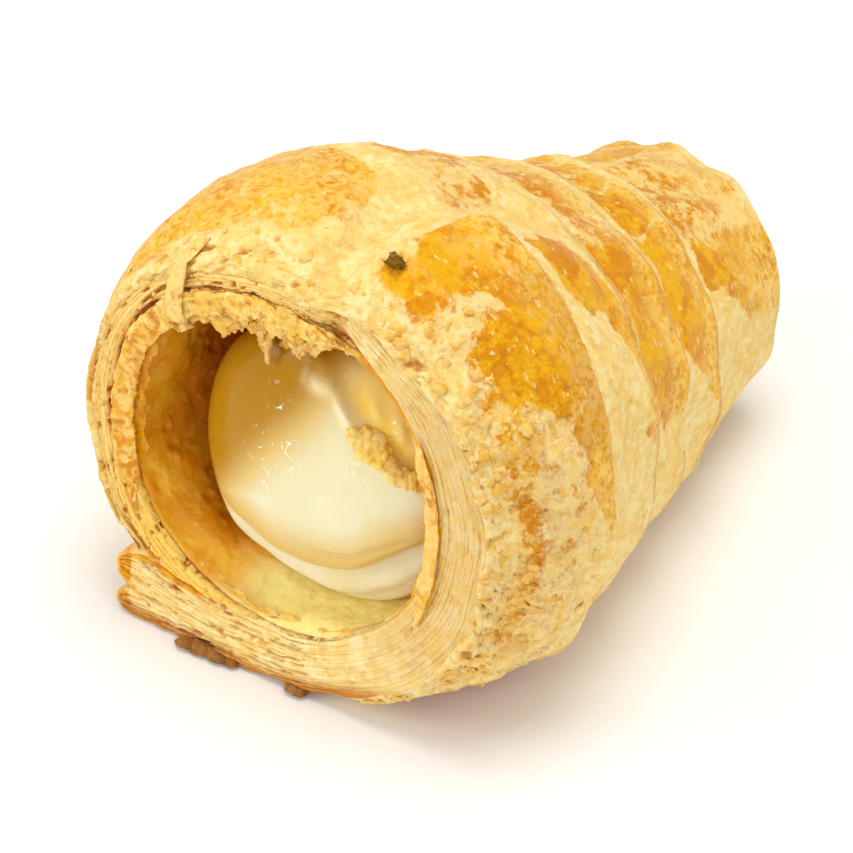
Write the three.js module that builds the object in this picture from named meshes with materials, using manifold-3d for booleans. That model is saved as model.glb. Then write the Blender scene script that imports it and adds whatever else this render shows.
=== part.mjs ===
import * as THREE from 'three';
import { mergeVertices } from 'three/addons/utils/BufferGeometryUtils.js';
import Module from 'manifold-3d';

// Cream horn: a strip of laminated dough wound on a cone, baked on its side and filled with cream.
// Millimetres, +Z up. It lies with its mouth at the -Y end and its tip at the +Y end.
// Angles round the horn are in degrees, seen from the mouth: 0 at +X, 90 at the top.

// The centre line, from the mouth to where the tip starts to round, and the rounding beyond it.
const BODY_LENGTH = 86;
const TIP_ROUND = 6;
const SIDE_BOW = 1.7;
const TIP_SIDE_SHIFT = 0.2;

// Outer radius at distances along the centre line.
const OUTER_RADIUS = [[0, 30.7], [8.6, 34.5], [21.5, 35.5], [36.2, 31.1], [51.7, 26.5], [68.9, 22.6],
  [86, 18.9]];

// The cross-section is slightly squarer than a circle.
const SECTION_POWER = 2.2;

// The underside is baked flat: the centre stands at this share of the radius above the tray.
const BASE_SHARE = 0.875;

// The mouth is propped up by the end of the strip tucked under it.
const MOUTH_LIFT = 4.4;
const MOUTH_LIFT_LENGTH = 25;

// How each turn's plane is swung sideways and tipped back, in degrees.
const TURN_YAW = [[0, 4.6], [34, -7.9], [86, -6.5]];
const TURN_PITCH = [[0, 5], [34, 4], [86, 7]];

// Where each turn of the strip ends on the next one, and how far its edge stands up.
const SEAMS = [40, 52.3, 63.5];
const SEAM_STEP = 1.7;
const SEAM_WANDER = 0.42;

// How a turn's height grows from its near edge to its far edge, and where that starts to round over.
const STEP_CURVE = 1.4;
const STEP_MIDDLE = 0.45;
const EDGE_ROUND_FROM = 0.94;
const EDGE_ROUND = 0.35;

// The last turn: its far edge, where it starts at the top, and how far it stands up.
const LAST_TURN_WIDTH = 23.4;
const LAST_TURN_START = 84;
const LAST_TURN_TAPER = 12;
const LAST_TURN_RISE = 0.8;

// Where the last turn's rise comes and goes, in degrees below its start, and along the horn.
const LAST_TURN_ONSET = [-1, 5];
const LAST_TURN_FADE = [140, 170];
const LAST_TURN_EDGE = [-1, 3];
const LAST_TURN_EVENS_OUT = [27, 36];

// The side away from the last turn swells at the mouth.
const SWELL_ANGLE = 181;
const SWELL = 2.5;
const SWELL_LENGTH = 30;
const SWELL_FULL_SHARE = 0.3;

// The torn valley between the last turn and the one before it: angle, half width and depth along the horn.
const VALLEY_ANGLE = [[0, 81], [10, 83], [17, 85], [24, 79], [36, 69]];
const VALLEY_HALF_WIDTH = [[0, 4], [10, 6], [18, 10], [28, 8], [38, 5]];
const VALLEY_DEPTH = [[0, 0.8], [10, 2.1], [20, 2.5], [30, 1.5], [42, 0]];

// Uneven relief, each made of waves: a seed, how many waves, and the most crests one has round the horn.
const CRUST_WAVES = [41, 9, 13];
const WALL_WAVES = [87, 9, 11];
const EDGE_WAVES = [23, 5, 9];
const FRINGE_WAVES = [65, 4, 17];
const SEAM_WAVES = [12, 3, 4];
const WAVE_SLANT = 1.3;
const SEAM_PHASE = 3;

// Blisters and dents of the crust.
const CRUST_RELIEF = 0.16;

// The cut edge of the dough round the mouth: two turns of the strip with a gap between them.
// Each row is the distance in from the rim and how far it stands out of the mouth.
const CUT_EDGE = [[1.0, 0.7], [2.3, -0.2], [3.2, 0.5], [4.4, -1.7], [5.2, 0.3]];
const CUT_EDGE_WANDER_IN = 0.14;
const CUT_EDGE_WANDER_OUT = 0.175;
const CUT_EDGE_PHASES = [4, 7, 2];

// The hollow.
const HOLLOW_SHIFT_X = -1.2;
const HOLLOW_SHIFT_Z = 1;
const HOLLOW_RADIUS = [[0, 23.6], [10, 22.8], [20, 21], [32, 18], [46, 14.4], [60, 11], [68, 8.6]];
const HOLLOW_ROWS = [0.3, 1.5, 3, 5, 9, 15, 22, 31, 41, 51, 60, 68];
const HOLLOW_END_ROUND = 2.5;
const WALL_RELIEF = 0.22;
const WALL_SMOOTH_LENGTH = 3;

// Flakes hanging from the top of the mouth.
const FRINGE_FROM = 62;
const FRINGE_TO = 146;
const FRINGE_DROP = 4.6;
const FRINGE_RAGGED = 0.55;
const FRINGE_GROWS_OVER = 14;
const FRINGE_ENDS_OVER = 12;
const FRINGE_ENDS_AT = [1.2, 5];

// Flakes lifting off the crust beside the mouth.
const RIM_FLAKES = 7;
const RIM_FLAKE_SEED = 77;
const RIM_FLAKE_SEEDS = [900, 17];
const RIM_FLAKE_AT = [1.5, 9];
const RIM_FLAKE_ANGLE = [-18, 14];
const RIM_FLAKE_LENGTH = [3.6, 5.8];
const RIM_FLAKE_WIDTH = [2.4, 4];
const RIM_FLAKE_TILT = [6, 14];
const RIM_FLAKE_THICK = 0.7;
const FLAKE_CORNERS = 9;
const FLAKE_RAGGED = [0.375, 0.175];
const FLAKE_LEVELS = [[-1, 0.8], [-0.3, 1], [0.5, 0.92]];
const FLAKE_CROWN = 0.7;

// A scorched crumb on the last turn.
const CRUMB_AT = 6;
const CRUMB_ANGLE = 72;
const CRUMB_SIZE = [1.5, 1.1, 0.9];
const CRUMB_LEAN = [20, 10, 35];
const CRUMB_FACETS = 10;

// Drips baked on to the front of the base: where each is, and its half width, depth and height.
const DRIPS = [[-14.5, [4.6, 2.1, 1.5]], [-10, [3.6, 1.8, 1.1]], [3, [2.6, 1.7, 1.1]]];
const DRIP_FORWARD = 2.8;
const DRIP_OUT = 0.4;
const DRIP_SUNK_SHARE = 0.55;
const DRIP_FACETS = 16;

// The torn strip hanging over the rim.
// Its path: distance along the horn, height over the rim, and how far out of the mouth.
const STRIP_PATH = [[3.5, 0.2, 0], [0.4, 0.5, 0.3], [0, -1.4, 1.2], [0, -3, 1.5], [0, -4.8, 1.3],
  [0, -6.6, 0.4]];
const STRIP_TOP_ANGLE = 117;
const STRIP_FOOT_ANGLE = 131;
const STRIP_HALF_WIDTH = 1.25;
const STRIP_UNEVEN = 0.2;
const STRIP_UNEVEN_PACE = 2.3;
const STRIP_THICK = 0.8;

// The end of the strip, tucked under the mouth and splitting into its layers.
const TAIL_END_X = -26.2;
const TAIL_ROOT_X = 12;
const TAIL_LIFTS_FROM_X = -3;
const TAIL_HEIGHT = 10.6;
const TAIL_LAYERS = 4;
const TAIL_DEPTH = 25;
const TAIL_TAPER = 0.64;
const TAIL_ROOT_SINK = 3;
const TAIL_WAVE = 0.1;
const TAIL_OVERLAP = 0.6;
const TAIL_SEED = 500;
const TAIL_LEAN = 0.1;
const TAIL_BOTTOM_SUNK = 1.5;
const TAIL_THINS = 0.3;

// The free end of a sheet: how unevenly the sheets end and stand out, and how blunt an end is.
const TAIL_END_SPREAD = 0.8;
const TAIL_END_FAN = 0.45;
const TAIL_FRONT_SPREAD = 0.9;
const TAIL_FRONT_BACK = 0.2;
const TAIL_BLUNT = 0.45;
const TAIL_BLUNT_LENGTH = 1.2;

// The grid of a sheet: steps near its end and columns along it, and rows from its front to its back.
const TAIL_END_STEPS = [0.9, 3];
const TAIL_COLUMNS = 9;
const TAIL_FRONT_ROUND = 1.2;
const TAIL_ROWS = [-6, -13, -19];
const TAIL_WAVE_PACE = [0.9, 2];

// Towards its back a sheet thins, and at its root it sinks into the wound dough.
const TAIL_BACK_THIN = 0.7;
const TAIL_THIN_FROM = 6;
const TAIL_THIN_BEYOND = 4;
const TAIL_SINKS_FROM_X = -8;
const TAIL_SETTLES_OVER = 6;

// The cream.
const CREAM_GAP = 0.35;
const CREAM_RADIUS = 19.6;
const CREAM_FRONT = 0.9;
const CREAM_WIDEST = 8.2;
const CREAM_SHIFT = [[0, 1.2], [12, 1.2], [30, 0]];
const CREAM_SINK = [[0, -2.6], [12, -2.2], [30, 0]];
// The fold that crosses it: how high it is at places across, and how far the cream is set back below.
const CREAM_FOLD = [[-15, -7], [-7.7, -9.4], [-4, -10.7], [0, -10.9], [3.8, -10.3], [7.2, -9.1],
  [11.4, -6.1], [15, -3.7], [20, -0.6]];
const CREAM_FOLD_DEPTH = 1.5;
const CREAM_FOLD_SOFTNESS = 1.2;
const CREAM_FOLD_FADE = 4;
const CREAM_FOLD_SHRINK = 0.5;
const CREAM_MOUTH_CLEARANCE = 8;

// Scraps of dough on the cream, each a ball pressed flat.
const SCRAPS = 6;
const SCRAP_FROM = [11.5, 12];
const SCRAP_TO = [19, 7.5];
const SCRAP_ZIGZAG = 0.5;
const SCRAP_SIZE = 1.5;
const SCRAP_SIZE_SPREAD = 0.4;
const SCRAP_DEPTH = 0.9;
const SCRAP_HEIGHT_SHARE = 0.85;
const SCRAP_PACE = [2.4, 1.7];
const SCRAP_FACETS = 10;

// Mesh density.
const COLUMNS = 72;
const TIP_ROWS = [0.93, 0.7, 0.38];
const TURN_ROWS = [[0, 0.07, 0.16, 0.28, 0.4, 0.5, 0.57, 0.64, 0.72, 0.86, 0.96], [0.02, 0.3, 0.65, 0.9],
  [0.02, 0.3, 0.65, 0.9], [0.02, 0.2, 0.45, 0.7, 0.92]];
const CREAM_COLUMNS = 44;
const DOME_ROWS = [0.1, 0.24, 0.38, 0.52, 0.66, 0.78, 0.88, 0.96, 1];
const SHAFT_ROWS = [12, 17, 23, 31, 41, 52, 62, 70];
const SHAFT_END = 71;
const MESH_TOLERANCE = 0.02;
const WELD_DISTANCE = 1e-4;

const PASTRY_COLOUR = '#e0ac55';
const PASTRY_ROUGHNESS = 0.55;
const CREAM_COLOUR = '#eedfae';
const CREAM_ROUGHNESS = 0.3;

const wasm = await Module();
wasm.setup();

const rad = THREE.MathUtils.degToRad;
const mix = THREE.MathUtils.lerp;

// Repeatable random numbers from 0 to 1.
function randomSource(seed) {
  let state = seed;
  return () => {
    state = (state * 16807) % 2147483647;
    return state / 2147483647;
  };
}

// A smooth curve through [position, value] pairs that doesn't overshoot them.
function curve(knots) {
  const gaps = knots.slice(1).map((knot, i) => (knot[1] - knots[i][1]) / (knot[0] - knots[i][0]));
  const slopes = knots.map((knot, i) => {
    if (i === 0) return gaps[0];
    if (i === gaps.length) return gaps[i - 1];
    const together = gaps[i - 1] * gaps[i];
    return together > 0 ? (2 * together) / (gaps[i - 1] + gaps[i]) : 0;
  });
  return (at) => {
    const last = knots.length - 1;
    if (at <= knots[0][0]) return knots[0][1];
    if (at >= knots[last][0]) return knots[last][1];
    const i = gaps.findIndex((gap, k) => at < knots[k + 1][0]);
    const width = knots[i + 1][0] - knots[i][0];
    const t = (at - knots[i][0]) / width;
    const start = (1 + 2 * t) * (1 - t) ** 2 * knots[i][1] + t * (1 - t) ** 2 * width * slopes[i];
    return start + t * t * (3 - 2 * t) * knots[i + 1][1] + t * t * (t - 1) * width * slopes[i + 1];
  };
}

const outerRadius = curve(OUTER_RADIUS);
const hollowRadius = curve(HOLLOW_RADIUS);
const turnYaw = curve(TURN_YAW);
const turnPitch = curve(TURN_PITCH);
const valleyAngle = curve(VALLEY_ANGLE);
const valleyHalfWidth = curve(VALLEY_HALF_WIDTH);
const valleyDepth = curve(VALLEY_DEPTH);
const creamShift = curve(CREAM_SHIFT);
const creamSink = curve(CREAM_SINK);
const creamFold = curve(CREAM_FOLD);

// 0 before the first edge, 1 after the second, smooth between.
function ramp(from, to, at) {
  return THREE.MathUtils.smoothstep(at, from, to);
}

// The signed difference between two angles, in degrees.
function turnBetween(angle, other) {
  return ((angle - other + 540) % 360) - 180;
}

// How much further out a corner of the squarish section is than a circle.
function squareness(angle) {
  const c = Math.abs(Math.cos(rad(angle)));
  const s = Math.abs(Math.sin(rad(angle)));
  return (c ** SECTION_POWER + s ** SECTION_POWER) ** (-1 / SECTION_POWER);
}

// A point of the cross-section at distance s along the horn; out moves it towards the mouth.
function sectionPoint(s, angle, radius, out = 0, shiftX = 0, shiftZ = 0) {
  const t = s / BODY_LENGTH;
  const yaw = rad(turnYaw(s));
  const pitch = rad(turnPitch(s));
  const centreX = 4 * SIDE_BOW * t * (1 - t) + TIP_SIDE_SHIFT * t;
  const lift = MOUTH_LIFT * Math.max(0, 1 - s / MOUTH_LIFT_LENGTH);
  const centreZ = outerRadius(s) * BASE_SHARE + lift;
  const side = new THREE.Vector3(Math.cos(yaw), Math.sin(yaw), 0);
  const mouthward = new THREE.Vector3(
    Math.sin(yaw) * Math.cos(pitch),
    -Math.cos(yaw) * Math.cos(pitch),
    Math.sin(pitch),
  );
  const up = new THREE.Vector3().crossVectors(side, mouthward).negate();
  const reach = radius * squareness(angle);
  return new THREE.Vector3(centreX, s, centreZ)
    .addScaledVector(side, reach * Math.cos(rad(angle)) + shiftX)
    .addScaledVector(up, reach * Math.sin(rad(angle)) + shiftZ)
    .addScaledVector(mouthward, out);
}

// Uneven relief from a few waves that close up round the horn.
function waves(seed, count, longest) {
  const random = randomSource(seed);
  const list = Array.from({ length: count }, () => ({
    round: Math.ceil(random() * longest),
    along: (random() - 0.5) * WAVE_SLANT,
    phase: random() * 2 * Math.PI,
  }));
  return (angle, s) => list.reduce(
    (sum, wave) => sum + Math.sin(wave.round * rad(angle) + wave.along * s + wave.phase),
    0,
  );
}

const crustWaves = waves(...CRUST_WAVES);
const wallWaves = waves(...WALL_WAVES);
const edgeWaves = waves(...EDGE_WAVES);
const fringeWaves = waves(...FRINGE_WAVES);
const seamWaves = waves(...SEAM_WAVES);

// The angle at which the last turn starts, which swings down away from the mouth.
function lastTurnStart(s) {
  return LAST_TURN_START - LAST_TURN_TAPER * Math.sqrt(Math.min(1, s / LAST_TURN_WIDTH));
}

// 1 on the last turn, 0 off it.
function onLastTurn(angle, s) {
  const below = -turnBetween(angle, lastTurnStart(s));
  const along = 1 - ramp(...LAST_TURN_EDGE, s - LAST_TURN_WIDTH);
  return ramp(...LAST_TURN_ONSET, below) * (1 - ramp(...LAST_TURN_FADE, below)) * along;
}

// The strip's relief: each turn rises to its far edge and steps down onto the next.
function stripRelief(angle, s, u) {
  const rounded = 1 - ramp(EDGE_ROUND_FROM, 1, u) * EDGE_ROUND;
  const step = SEAM_STEP * (u ** STEP_CURVE - STEP_MIDDLE) * rounded;
  const last = LAST_TURN_RISE * (2 * onLastTurn(angle, s) - 1) * (1 - ramp(...LAST_TURN_EVENS_OUT, s));
  const off = turnBetween(angle, valleyAngle(s)) / valleyHalfWidth(s);
  const valley = valleyDepth(s) * Math.exp(-off * off);
  const facing = Math.max(0, Math.cos(rad(turnBetween(angle, SWELL_ANGLE))));
  const swell = SWELL * facing ** 3 * (1 - ramp(SWELL_FULL_SHARE * SWELL_LENGTH, SWELL_LENGTH, s));
  return step + last + swell - valley + CRUST_RELIEF * crustWaves(angle, s);
}

// One ring of points.
function ring(point) {
  return Array.from({ length: COLUMNS }, (_, i) => point((i * 360) / COLUMNS));
}

// Rings over the outside, from the tip to the mouth, following every seam.
function outsideRings() {
  const rings = [];
  for (const q of TIP_ROWS) {
    const s = BODY_LENGTH + TIP_ROUND * Math.sin((q * Math.PI) / 2);
    const share = Math.cos((q * Math.PI) / 2);
    rings.push(ring((angle) => sectionPoint(s, angle, outerRadius(s) * share)));
  }
  const edges = [0, ...SEAMS, BODY_LENGTH];
  for (let turn = edges.length - 2; turn >= 0; turn -= 1) {
    for (const u of [...TURN_ROWS[turn]].reverse()) {
      rings.push(ring((angle) => {
        const wander = (edge) => SEAM_WANDER * seamWaves(angle, edge * SEAM_PHASE);
        const from = edges[turn] + (turn > 0 ? wander(turn) : 0);
        const to = edges[turn + 1] + (turn < SEAMS.length ? wander(turn + 1) : 0);
        const s = mix(from, to, u);
        return sectionPoint(s, angle, outerRadius(s) + stripRelief(angle, s, u));
      }));
    }
  }
  return rings;
}

// How far the hanging flakes reach into the mouth.
function fringe(angle) {
  const grown = ramp(FRINGE_FROM, FRINGE_FROM + FRINGE_GROWS_OVER, angle);
  const inside = grown * (1 - ramp(FRINGE_TO - FRINGE_ENDS_OVER, FRINGE_TO, angle));
  return inside * (FRINGE_DROP + FRINGE_RAGGED * fringeWaves(angle, 0));
}

// Rings over the cut edge of the dough, from the outer rim in.
function cutEdgeRings() {
  const [inPhase, outPhase, outStart] = CUT_EDGE_PHASES;
  return CUT_EDGE.map(([inset, out], k) => ring((angle) => {
    const rim = outerRadius(0) + stripRelief(angle, 0, 0);
    const radius = rim - inset + CUT_EDGE_WANDER_IN * edgeWaves(angle, k * inPhase);
    const share = inset / (outerRadius(0) - hollowRadius(0));
    const along = out + CUT_EDGE_WANDER_OUT * edgeWaves(angle, k * outPhase + outStart);
    return sectionPoint(0, angle, radius, along, HOLLOW_SHIFT_X * share, HOLLOW_SHIFT_Z * share);
  }));
}

// A point of the hollow's wall, grown by a clearance.
function hollowPoint(angle, s, grow) {
  const rough = WALL_RELIEF * wallWaves(angle, s) * ramp(0, WALL_SMOOTH_LENGTH, s);
  const fade = 1 - s / BODY_LENGTH;
  const radius = hollowRadius(s) + rough + grow;
  return sectionPoint(s, angle, radius, 0, HOLLOW_SHIFT_X * fade, HOLLOW_SHIFT_Z * fade);
}

// Rings down the inside of the hollow.
function hollowRings(grow) {
  return HOLLOW_ROWS.map((s) => ring((angle) => {
    const hang = grow === 0 ? fringe(angle) * (1 - ramp(...FRINGE_ENDS_AT, s)) : 0;
    return hollowPoint(angle, s, grow - hang);
  }));
}

// A closed solid from rings of points, each end closed on a point.
function solidFromRings(first, rings, last) {
  const columns = rings[0].length;
  const points = [first, ...rings.flat(), last];
  const faces = [];
  for (let i = 0; i < columns; i += 1) {
    const next = (i + 1) % columns;
    faces.push([0, 1 + next, 1 + i]);
    for (let k = 0; k < rings.length - 1; k += 1) {
      const a = 1 + k * columns;
      const b = a + columns;
      faces.push([a + i, a + next, b + next]);
      faces.push([a + i, b + next, b + i]);
    }
    const end = 1 + (rings.length - 1) * columns;
    faces.push([points.length - 1, end + i, end + next]);
  }
  const mesh = new wasm.Mesh({
    numProp: 3,
    vertProperties: new Float32Array(points.flatMap((p) => [p.x, p.y, p.z])),
    triVerts: new Uint32Array(faces.flat()),
  });
  const solid = new wasm.Manifold(mesh);
  if (solid.volume() > 0) return solid;
  mesh.triVerts = new Uint32Array(faces.flatMap(([a, b, c]) => [a, c, b]));
  return new wasm.Manifold(mesh);
}

// The wound dough with its hollow, before its end is added.
function woundBody() {
  const hollowEnd = HOLLOW_ROWS[HOLLOW_ROWS.length - 1];
  const rings = [...outsideRings(), ...cutEdgeRings(), ...hollowRings(0)];
  const tip = sectionPoint(BODY_LENGTH + TIP_ROUND, 0, 0);
  return solidFromRings(tip, rings, sectionPoint(hollowEnd + HOLLOW_END_ROUND, 0, 0));
}

// The average of some points.
function middleOf(points) {
  return points.reduce((sum, p) => sum.add(p), new THREE.Vector3()).divideScalar(points.length);
}

// One sheet of the strip's tucked-under end; level 0 is the lowest.
function tailSheet(level) {
  const random = randomSource(TAIL_SEED + level);
  const thick = TAIL_HEIGHT / TAIL_LAYERS;
  const lean = (TAIL_HEIGHT - thick * level) * TAIL_LEAN;
  const end = TAIL_END_X + TAIL_END_FAN * (level - 0.5) ** 2 + random() * TAIL_END_SPREAD;
  const front = TAIL_FRONT_SPREAD * random() - TAIL_FRONT_BACK;
  const [firstStep, secondStep] = TAIL_END_STEPS;
  const shares = Array.from({ length: TAIL_COLUMNS }, (_, i) => i / (TAIL_COLUMNS - 1));
  const onwards = shares.map((share) => mix(end + secondStep, TAIL_ROOT_X, share));
  const across = [end, end + firstStep, ...onwards];
  const along = [front, front - TAIL_FRONT_ROUND, ...TAIL_ROWS, -TAIL_DEPTH];
  const [wavePace, wavePhase] = TAIL_WAVE_PACE;
  const section = (x, outward) => {
    const t = ramp(end, TAIL_ROOT_X, x);
    const blunt = 1 - TAIL_BLUNT * (1 - ramp(end, end + TAIL_BLUNT_LENGTH, x));
    const round = Math.max(0, x - TAIL_LIFTS_FROM_X) ** 2 / (2 * outerRadius(0));
    const flat = thick * (level + 0.5) * (1 - TAIL_TAPER * t);
    const middle = flat + round + TAIL_WAVE * Math.sin(x * wavePace + level * wavePhase);
    const taper = 1 - TAIL_BACK_THIN * ramp(TAIL_THIN_FROM, TAIL_DEPTH + TAIL_THIN_BEYOND, -outward);
    const half = thick * TAIL_OVERLAP * blunt * (1 - TAIL_THINS * t);
    const settled = ramp(TAIL_LIFTS_FROM_X, TAIL_LIFTS_FROM_X + TAIL_SETTLES_OVER, x);
    const sunk = level === 0 ? TAIL_BOTTOM_SUNK * (1 - settled) : 0;
    return { low: (middle - half) * taper - sunk, high: (middle + half) * taper };
  };
  const place = (x, outward, height) => {
    const foot = sectionPoint(0, -90, 0, outward);
    const floorShift = height - foot.z;
    const inwards = lean * ramp(0, TAIL_DEPTH, -outward);
    const sunk = TAIL_ROOT_SINK * ramp(TAIL_SINKS_FROM_X, TAIL_ROOT_X, x);
    return sectionPoint(0, 0, 0, outward - sunk, x + inwards, floorShift);
  };
  const rings = along.map((outward) => {
    const top = across.map((x) => place(x, outward, section(x, outward).high));
    const bottom = across.map((x) => place(x, outward, section(x, outward).low)).reverse();
    return [...top, ...bottom];
  });
  return solidFromRings(middleOf(rings[0]), rings, middleOf(rings[rings.length - 1]));
}

// A flake standing on the crust: a thin, ragged scale, sunk at one end.
function flake({ s, angle, length, width, thick, twist, tilt, seed }) {
  const random = randomSource(seed);
  const seat = outerRadius(s) + stripRelief(angle, s, s / SEAMS[0]);
  const middle = sectionPoint(s, angle, seat);
  const above = sectionPoint(s, angle, seat + 1);
  const beside = sectionPoint(s + 1, angle, seat);
  const normal = above.sub(middle).normalize();
  const along = beside.sub(middle).projectOnPlane(normal).normalize().applyAxisAngle(normal, rad(twist));
  const across = new THREE.Vector3().crossVectors(normal, along);
  const [least, spread] = FLAKE_RAGGED;
  const outline = Array.from({ length: FLAKE_CORNERS }, (_, i) => {
    const turn = (i * 2 * Math.PI) / FLAKE_CORNERS;
    const ragged = least + spread * random();
    return [Math.cos(turn) * length * ragged, Math.sin(turn) * width * ragged];
  });
  const layer = (height, share) => outline.map(([a, b]) => middle.clone()
    .addScaledVector(along, a * share)
    .addScaledVector(across, b * share)
    .addScaledVector(normal, height + a * Math.tan(rad(tilt))));
  const rings = FLAKE_LEVELS.map(([level, share]) => layer(thick * level, share));
  return solidFromRings(
    middle.clone().addScaledVector(normal, -thick),
    rings,
    middle.clone().addScaledVector(normal, thick * FLAKE_CROWN),
  );
}

// A torn strip of crust that hangs over the rim, from the outside down across the cut edge.
function tornStrip() {
  const rings = STRIP_PATH.map(([s, lift, out], k) => {
    const angle = mix(STRIP_TOP_ANGLE, STRIP_FOOT_ANGLE, k / (STRIP_PATH.length - 1));
    const half = STRIP_HALF_WIDTH + STRIP_UNEVEN * Math.sin(k * STRIP_UNEVEN_PACE);
    const radius = outerRadius(s) + lift;
    const overRim = s > 0 ? 1 : 0;
    const corner = (side, face) => sectionPoint(
      s,
      angle + (side * half * 180) / (Math.PI * radius),
      radius + face * STRIP_THICK * overRim,
      out + face * STRIP_THICK * (1 - overRim),
    );
    return [corner(-1, -1), corner(1, -1), corner(1, 0), corner(-1, 0)];
  });
  return solidFromRings(middleOf(rings[0]), rings, middleOf(rings[rings.length - 1]));
}

// Flakes of the crust lifting beside the mouth.
function crustFlakes() {
  const flakes = [];
  const random = randomSource(RIM_FLAKE_SEED);
  const [firstSeed, seedStep] = RIM_FLAKE_SEEDS;
  for (let i = 0; i < RIM_FLAKES; i += 1) {
    flakes.push(flake({
      s: mix(...RIM_FLAKE_AT, random()),
      angle: mix(...RIM_FLAKE_ANGLE, random()),
      length: mix(...RIM_FLAKE_LENGTH, random()),
      width: mix(...RIM_FLAKE_WIDTH, random()),
      thick: RIM_FLAKE_THICK,
      twist: random() * 180,
      tilt: mix(...RIM_FLAKE_TILT, random()),
      seed: firstSeed + i * seedStep,
    }));
  }
  return flakes;
}

// A scorched crumb stuck to the glaze.
function scorchedCrumb() {
  const seat = outerRadius(CRUMB_AT) + stripRelief(CRUMB_ANGLE, CRUMB_AT, CRUMB_AT / SEAMS[0]);
  const at = sectionPoint(CRUMB_AT, CRUMB_ANGLE, seat);
  const crumb = wasm.Manifold.sphere(1, CRUMB_FACETS).scale(CRUMB_SIZE).rotate(CRUMB_LEAN);
  return crumb.translate([at.x, at.y, at.z]);
}

// Butter-browned drips baked onto the front of the base.
function baseDrips() {
  return DRIPS.map(([x, size]) => {
    const foot = sectionPoint(0, 0, 0, DRIP_OUT, x, 0);
    const drip = wasm.Manifold.sphere(1, DRIP_FACETS).scale(size);
    return drip.translate([foot.x, foot.y - DRIP_FORWARD, size[2] * DRIP_SUNK_SHARE]);
  });
}

// How far in from the mouth the cream's dome is at a distance from its middle.
function creamFace(fromMiddle) {
  const share = Math.min(1, fromMiddle / CREAM_RADIUS);
  return mix(CREAM_FRONT, CREAM_WIDEST, 1 - Math.sqrt(1 - share * share));
}

// How far the cream's surface is set back below the fold that crosses it.
function foldSetback(x, z) {
  return CREAM_FOLD_DEPTH * ramp(-CREAM_FOLD_SOFTNESS, CREAM_FOLD_SOFTNESS, creamFold(x) - z);
}

// Scraps of dough stuck to the cream beside the mouth's edge.
function creamScraps() {
  const [zigzagPace, sizePace] = SCRAP_PACE;
  return Array.from({ length: SCRAPS }, (_, i) => {
    const t = i / (SCRAPS - 1);
    const x = mix(SCRAP_FROM[0], SCRAP_TO[0], t);
    const z = mix(SCRAP_FROM[1], SCRAP_TO[1], t) + SCRAP_ZIGZAG * Math.sin(i * zigzagPace);
    const seat = creamFace(Math.hypot(x - creamShift(0), z - creamSink(0)));
    const at = sectionPoint(seat, 0, 0, 0, x, z);
    const size = SCRAP_SIZE + SCRAP_SIZE_SPREAD * Math.sin(i * sizePace);
    const halves = [size, SCRAP_DEPTH, size * SCRAP_HEIGHT_SHARE];
    const scrap = wasm.Manifold.sphere(1, SCRAP_FACETS).scale(halves);
    return scrap.translate([at.x, at.y, at.z]);
  });
}

// The cream as one swelling plug, before it is fitted to the hollow.
function creamPlug() {
  const angles = Array.from({ length: CREAM_COLUMNS }, (_, i) => (i * 360) / CREAM_COLUMNS);
  const dome = DOME_ROWS.map((q) => angles.map((angle) => {
    const spread = CREAM_RADIUS * Math.sin((q * Math.PI) / 2);
    const s = creamFace(spread);
    const x = spread * Math.cos(rad(angle));
    const z = spread * Math.sin(rad(angle));
    const fade = q ** CREAM_FOLD_FADE;
    const back = foldSetback(x, z) * (1 - fade);
    const shrink = 1 - (foldSetback(x, z) * fade * CREAM_FOLD_SHRINK) / CREAM_RADIUS;
    return sectionPoint(s, angle, spread * shrink, -back, creamShift(s), creamSink(s));
  }));
  const shaft = SHAFT_ROWS.map((s) => angles.map(
    (angle) => sectionPoint(s, angle, CREAM_RADIUS, 0, creamShift(s), creamSink(s)),
  ));
  const front = sectionPoint(CREAM_FRONT, 0, 0, 0, creamShift(0), creamSink(0));
  return solidFromRings(front, [...dome, ...shaft], sectionPoint(SHAFT_END, 0, 0));
}

// The hollow less a thin gap, open at the front, to fit the cream to.
function creamMould() {
  const inner = hollowRings(-CREAM_GAP);
  const opening = ring((angle) => sectionPoint(
    0,
    angle,
    hollowRadius(0),
    CREAM_MOUTH_CLEARANCE,
    HOLLOW_SHIFT_X,
    HOLLOW_SHIFT_Z,
  ));
  const hollowEnd = HOLLOW_ROWS[HOLLOW_ROWS.length - 1];
  return solidFromRings(
    sectionPoint(0, 0, 0, CREAM_MOUTH_CLEARANCE),
    [opening, ...inner],
    sectionPoint(hollowEnd + HOLLOW_END_ROUND - 1, 0, 0),
  );
}

// A solid's outer skin, without the closed pockets left where its parts meet.
function withoutPockets(solid) {
  return solid.decompose().reduce((best, shell) => (shell.volume() > best.volume() ? shell : best));
}

// A three.js mesh from a solid.
function meshFrom(solid, name, colour, roughness) {
  const data = solid.getMesh();
  const geometry = new THREE.BufferGeometry();
  geometry.setAttribute('position', new THREE.BufferAttribute(new Float32Array(data.vertProperties), 3));
  geometry.setIndex(new THREE.BufferAttribute(new Uint32Array(data.triVerts), 1));
  const welded = mergeVertices(geometry, WELD_DISTANCE);
  welded.computeVertexNormals();
  const material = new THREE.MeshStandardMaterial({ color: colour, roughness, metalness: 0 });
  const mesh = new THREE.Mesh(welded, material);
  mesh.name = name;
  return mesh;
}

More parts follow.
